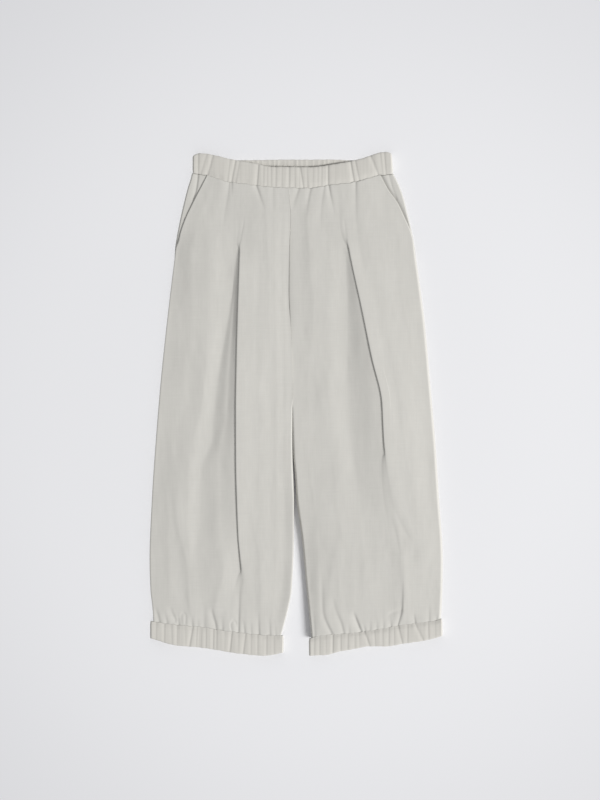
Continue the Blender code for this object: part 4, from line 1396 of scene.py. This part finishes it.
def band_section(seam_on_top):
    """Section of a casing's wall, all round it: places from top to foot, and offsets from its middle."""
    part = (1 - np.cos(np.pi * np.arange(BAND_SECTION + 1) / BAND_SECTION)) / 2
    part = np.concatenate([[0, BAND_SEAM_ROUND], part[1:-1], [1 - BAND_SEAM_ROUND, 1]])
    from_seam = part if seam_on_top else 1 - part
    half = BAND_SEAM_HALF + (BAND_HALF - BAND_SEAM_HALF) * ease(from_seam / BAND_SWELL)
    to_end = np.minimum(from_seam / BAND_SEAM_ROUND, (1 - from_seam) / BAND_FOLD_ROUND)
    bulge = half * np.sqrt(1 - (1 - np.minimum(to_end, 1)) ** 2)
    part = np.concatenate([part, part[-2:0:-1]])
    from_seam = np.concatenate([from_seam, from_seam[-2:0:-1]])
    offset = np.concatenate([bulge, -bulge[-2:0:-1]])
    return part, from_seam, offset


def gathered_band(band, seam_on_top):
    """An elastic casing laid flat: one closed ring, folded round its elastic, with gathers on both sides."""
    part, from_seam, offset = band_section(seam_on_top)
    padding = BAND_PADDING * 4 * part * (1 - part) - BAND_SEAM_DROP * (1 - ease(from_seam / BAND_SWELL))
    left = band.front_top[0].across * (1 - part) + band.front_foot[0].across * part + BAND_HALF
    right = band.front_top[-1].across * (1 - part) + band.front_foot[-1].across * part - BAND_HALF
    start, end = max(left) + BAND_ROUND, min(right) - BAND_ROUND
    count = int((end - start) / BAND_COLUMN)
    front = band.gathers + small_gathers(start, end, band.seed)
    back = band.back_gathers + small_gathers(start, end, band.seed + 1)
    middle = (BAND_LEVEL + BAND_BACK_LEVEL) / 2
    tall = (BAND_LEVEL - BAND_BACK_LEVEL) / 2
    ring = []

    def edge_down(top, foot, across):
        upper = curve(top, "down", across) + wobble(across) * (1.0 if seam_on_top else 0.4)
        lower = curve(foot, "down", across) + wobble(across) * (0.4 if seam_on_top else 1.0)
        return upper * (1 - part) + lower * part

    def add_side(places, top, foot, shape):
        for place in places:
            across = np.full_like(part, start + (end - start) * place)
            ring.append(np.stack([across, edge_down(top, foot, across), shape(across)], axis=1))

    def add_end(edge, way, turns):
        for turn in turns:
            across = edge - way * (BAND_ROUND * (1 - np.cos(turn)) - offset * np.cos(turn))
            share = (1 + np.sin(turn)) / 2
            down = edge_down(band.front_top, band.front_foot, across) * share
            down = down + edge_down(band.back_top, band.back_foot, across) * (1 - share)
            ring.append(np.stack([across, down, middle + (tall + offset) * np.sin(turn) + padding * share], axis=1))

    def front_height(across):
        pinched = pinch(front, across, part) - 0.3 * crumple(across, 2 * part * 30, band.seed)
        return BAND_LEVEL + padding - pinched + offset

    def back_height(across):
        from_end = np.clip(np.minimum(across - start, end - across) / BAND_LIFT_RUN, 0, 1)
        lift = BAND_BACK_LIFT * ease(from_end) * from_seam**1.5
        return BAND_BACK_LEVEL + lift + pinch(back, across, part) - offset

    places = np.linspace(0, 1, count + 1)
    add_side(places, band.front_top, band.front_foot, front_height)
    add_end(right, 1, END_TURNS[::-1])
    add_side(places[::-1], band.back_top, band.back_foot, back_height)
    add_end(left, -1, END_TURNS)
    grid = np.array(ring)
    rounds, sides = grid.shape[:2]
    row, column = np.meshgrid(np.arange(rounds), np.arange(sides), indexing="ij")
    here, below = row * sides, (row + 1) % rounds * sides
    beside = (column + 1) % sides
    faces = np.stack([here + column, here + beside, below + beside, below + column], axis=-1).reshape(-1, 4)
    return mesh_piece(band.name, grid, faces)


def cotton(name, colour):
    """Matte crisp cotton: fine weave, faint slubs and a slight unevenness of tone."""
    material = bpy.data.materials.new(name)
    material.use_nodes = True
    nodes, links = material.node_tree.nodes, material.node_tree.links
    shader = nodes["Principled BSDF"]
    shader.inputs["Roughness"].default_value = 0.92
    shader.inputs["Specular IOR Level"].default_value = 0.25
    shader.inputs["Sheen Weight"].default_value = 0.12
    shader.inputs["Sheen Roughness"].default_value = 0.5
    place = nodes.new("ShaderNodeTexCoord")

    def waves(direction, scale):
        wave = nodes.new("ShaderNodeTexWave")
        wave.wave_type = "BANDS"
        wave.bands_direction = direction
        wave.inputs["Scale"].default_value = scale
        wave.inputs["Distortion"].default_value = 1.5
        wave.inputs["Detail Scale"].default_value = 2.0
        links.new(place.outputs["Object"], wave.inputs["Vector"])
        return wave.outputs["Fac"]

    def mottle(scale, detail):
        grain = nodes.new("ShaderNodeTexNoise")
        grain.inputs["Scale"].default_value = scale
        grain.inputs["Detail"].default_value = detail
        links.new(place.outputs["Object"], grain.inputs["Vector"])
        return grain.outputs["Fac"]

    def slubs(scale):
        stretch = nodes.new("ShaderNodeMapping")
        stretch.inputs["Scale"].default_value = scale
        links.new(place.outputs["Object"], stretch.inputs["Vector"])
        grain = nodes.new("ShaderNodeTexNoise")
        grain.inputs["Scale"].default_value = 1.0
        grain.inputs["Detail"].default_value = 1.0
        links.new(stretch.outputs["Vector"], grain.inputs["Vector"])
        return grain.outputs["Fac"]

    def maths(operation, first, second):
        node = nodes.new("ShaderNodeMath")
        node.operation = operation
        for socket, value in zip(node.inputs, (first, second)):
            if isinstance(value, (int, float)):
                socket.default_value = value
            else:
                links.new(value, socket)
        return node.outputs["Value"]

    weave = maths("ADD", waves("X", 500.0), waves("Y", 460.0))
    relief = maths("ADD", maths("MULTIPLY", weave, 0.35), maths("MULTIPLY", mottle(900.0, 3.0), 0.8))
    bump = nodes.new("ShaderNodeBump")
    bump.inputs["Strength"].default_value = 0.25
    bump.inputs["Distance"].default_value = 0.0002
    links.new(relief, bump.inputs["Height"])
    links.new(bump.outputs["Normal"], shader.inputs["Normal"])
    ramp = nodes.new("ShaderNodeValToRGB")
    ramp.color_ramp.elements[0].position = 0.3
    ramp.color_ramp.elements[1].position = 0.7
    ramp.color_ramp.elements[0].color = (*[value * 0.955 for value in colour], 1.0)
    ramp.color_ramp.elements[1].color = (*[value * 1.04 for value in colour], 1.0)
    threads = maths("ADD", maths("MULTIPLY", slubs(WEFT_SLUBS), 0.5), maths("MULTIPLY", slubs(WARP_SLUBS), 0.5))
    tone = maths("ADD", maths("MULTIPLY", mottle(14.0, 3.0), 0.35), maths("MULTIPLY", threads, 0.65))
    links.new(tone, ramp.inputs["Fac"])
    links.new(ramp.outputs["Color"], shader.inputs["Base Color"])
    return material


def dress(piece, material, node):
    """Give a piece its cloth and its place on the frame, and hide its solid."""
    piece.data.materials.append(material)
    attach(piece, "root")
    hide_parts(node)


def make_garment():
    """Every piece of the trousers, each in the place of its solid."""
    cloth = cotton("stone cotton", (0.600, 0.588, 0.552))
    band_cloth = cotton("stone cotton bands", (0.603, 0.586, 0.545))
    left = front_panel(Panel("front_left_cloth", LEFT_SIDE, LEFT_INNER, LEFT_SIDE_SHOULDER, LEFT_INNER_SHOULDER,
                             LEFT_PLEAT, LEFT_BEFORE, LEFT_AFTER, LEFT_CREASES, LEFT_CUFF_SEAM), 11)
    right = front_panel(Panel("front_right_cloth", RIGHT_INNER, RIGHT_SIDE, RIGHT_INNER_SHOULDER, RIGHT_SIDE_SHOULDER,
                              RIGHT_PLEAT, RIGHT_BEFORE, RIGHT_AFTER, RIGHT_CREASES, RIGHT_CUFF_SEAM), 23)
    back_left = back_panel("back_left_cloth", side_edges(LEFT_HIP, LEFT_SIDE), back_edges(LEFT_INNER),
                           LEFT_CUFF_SEAM, LEFT_BACK_CREASES, 31)
    back_right = back_panel("back_right_cloth", back_edges(RIGHT_INNER), side_edges(RIGHT_HIP, RIGHT_SIDE),
                            RIGHT_CUFF_SEAM, RIGHT_BACK_CREASES, 37)
    dress(back_left, cloth, "back_left")
    dress(back_right, cloth, "back_right")
    dress(left, cloth, "front_left")
    dress(right, cloth, "front_right")
    facings = []
    for name, side, mouth, way, creases, under in (
        ("pocket_facing_left", LEFT_HIP, LEFT_SIDE, 1, LEFT_FACING_CREASES, back_left),
        ("pocket_facing_right", RIGHT_HIP, RIGHT_SIDE, -1, RIGHT_FACING_CREASES, back_right),
    ):
        facing = pocket_facing(name + "_cloth", side, mouth, way, creases)
        dress(facing, cloth, name)
        facings.append(facing)
    waist = gathered_band(Band("waistband_cloth", WAIST_TOP_FRONT, raised(WAIST_SEAM), WAIST_TOP_BACK,
                               raised(WAIST_SEAM_BACK), WAIST_GATHERS, even_gathers(-152, 142, 34, 5), 41), False)
    cuff_left = gathered_band(Band("cuff_left_cloth", lowered(LEFT_CUFF_SEAM), LEFT_CUFF_FOOT,
                                   lowered(LEFT_CUFF_SEAM), LEFT_CUFF_FOOT, LEFT_CUFF_GATHERS,
                                   even_gathers(-224, -30, 22, 6), 43), True)
    cuff_right = gathered_band(Band("cuff_right_cloth", lowered(RIGHT_CUFF_SEAM), RIGHT_CUFF_FOOT,
                                    lowered(RIGHT_CUFF_SEAM), RIGHT_CUFF_FOOT, RIGHT_CUFF_GATHERS,
                                    even_gathers(30, 224, 22, 7), 47), True)
    dress(waist, band_cloth, "waistband")
    dress(cuff_left, band_cloth, "cuff_left")
    dress(cuff_right, band_cloth, "cuff_right")
    return [left, right, back_left, back_right, waist, cuff_left, cuff_right] + facings


# Camera straight above, as in the photo, whose frame of 600 by 800 pixels covers 960 by 1280 mm of the floor.
FRAME_LENGTH = 1.28
LENS = 135.0
SENSOR = 36.0
VIEW_ACROSS = 0.0060
VIEW_UP = 0.0059
GARMENT_HEIGHT = 0.010

# Slubs: how often the tone changes along each axis, in a metre.
WEFT_SLUBS = (28.0, 620.0, 1.0)
WARP_SLUBS = (620.0, 22.0, 1.0)

# Lamps, in metres and watts: the key stands low on the right.
KEY_PLACE = (12.6, -2.6, 9.0)
KEY_POWER = 2520.0
FLOOR_KEY_POWER = 2760.0
# Painted light on the floor: its colour is lighter in the middle and darker towards the corners, a painted falloff of
# light, fading between two distances from the middle in metres.
FLOOR_PAINTED_LIGHT_MIDDLE = (0.785, 0.785, 0.800, 1.0)
FLOOR_PAINTED_SHADE_CORNER = (0.690, 0.690, 0.706, 1.0)
FLOOR_REACH = 10.0
PAINTED_FALLOFF_START = 0.38
PAINTED_FALLOFF_END = 0.95
SKY = 0.42
RIGHT_LEG = ("front_right_cloth", "back_right_cloth")


def make_camera():
    """A long lens looking straight down."""
    data = bpy.data.cameras.new("camera")
    data.lens = LENS
    data.sensor_width = SENSOR
    distance = FRAME_LENGTH * LENS / SENSOR
    camera = bpy.data.objects.new("camera", data)
    camera.location = (VIEW_ACROSS, VIEW_UP, GARMENT_HEIGHT + distance)
    bpy.context.collection.objects.link(camera)
    bpy.context.scene.camera = camera


def area_light(name, place, size, power, colour, receivers, blockers=None):
    """A soft square lamp that faces the middle of the garment and lights the named pieces alone."""
    data = bpy.data.lights.new(name, "AREA")
    data.shape = "SQUARE"
    data.size = size
    data.energy = power
    data.color = colour
    lamp = bpy.data.objects.new(name, data)
    lamp.location = place
    lamp.rotation_euler = (-Vector(place)).to_track_quat("-Z", "Y").to_euler()
    bpy.context.collection.objects.link(lamp)
    lamp.light_linking.receiver_collection = group(name + " receivers", receivers)
    if blockers:
        lamp.light_linking.blocker_collection = group(name + " blockers", blockers)


def group(name, pieces):
    """A collection of pieces for a lamp."""
    collection = bpy.data.collections.new(name)
    for piece in pieces:
        collection.objects.link(piece)
    return collection


def make_studio(pieces):
    """A pale floor with painted falloff of light, lighter in its middle and darker towards its corners, a soft lamp
    to the right for the cloth and an even light for the floor.
    """
    mesh = bpy.data.meshes.new("floor")
    corners = [(-FLOOR_REACH, -FLOOR_REACH, 0), (FLOOR_REACH, -FLOOR_REACH, 0)]
    corners += [(FLOOR_REACH, FLOOR_REACH, 0), (-FLOOR_REACH, FLOOR_REACH, 0)]
    mesh.from_pydata(corners, [], [(0, 1, 2, 3)])
    floor = bpy.data.objects.new("floor", mesh)
    bpy.context.collection.objects.link(floor)
    paint = bpy.data.materials.new("pale floor")
    paint.use_nodes = True
    shader = paint.node_tree.nodes["Principled BSDF"]
    shader.inputs["Roughness"].default_value = 1.0
    shader.inputs["Specular IOR Level"].default_value = 0.0
    nodes, links = paint.node_tree.nodes, paint.node_tree.links
    # Painted light: the floor's colour goes from lighter near the middle to darker towards the corners, as painted
    # falloff of the lamps' light.
    place = nodes.new("ShaderNodeTexCoord")
    distance = nodes.new("ShaderNodeVectorMath")
    distance.operation = "LENGTH"
    links.new(place.outputs["Object"], distance.inputs[0])
    painted_falloff = nodes.new("ShaderNodeMapRange")
    painted_falloff.interpolation_type = "SMOOTHSTEP"
    painted_falloff.inputs["From Min"].default_value = PAINTED_FALLOFF_START
    painted_falloff.inputs["From Max"].default_value = PAINTED_FALLOFF_END
    links.new(distance.outputs["Value"], painted_falloff.inputs["Value"])
    tone = nodes.new("ShaderNodeMix")
    tone.data_type = "RGBA"
    tone.inputs["A"].default_value = FLOOR_PAINTED_LIGHT_MIDDLE
    tone.inputs["B"].default_value = FLOOR_PAINTED_SHADE_CORNER
    links.new(painted_falloff.outputs["Result"], tone.inputs["Factor"])
    links.new(tone.outputs["Result"], shader.inputs["Base Color"])
    floor.data.materials.append(paint)
    right_leg = [piece for piece in pieces if piece.name in RIGHT_LEG]
    area_light("key", KEY_PLACE, 5.0, KEY_POWER, (1.0, 0.995, 0.985), pieces)
    area_light("floor key", KEY_PLACE, 6.4, FLOOR_KEY_POWER, (1.0, 1.0, 1.0), [floor], right_leg)
    world = bpy.data.worlds.new("studio")
    bpy.context.scene.world = world
    world.use_nodes = True
    background = world.node_tree.nodes["Background"]
    background.inputs["Color"].default_value = (0.98, 0.985, 1.0, 1.0)
    background.inputs["Strength"].default_value = SKY
    bpy.context.scene.view_settings.view_transform = "Standard"


garment = make_garment()
make_camera()
make_studio(garment)
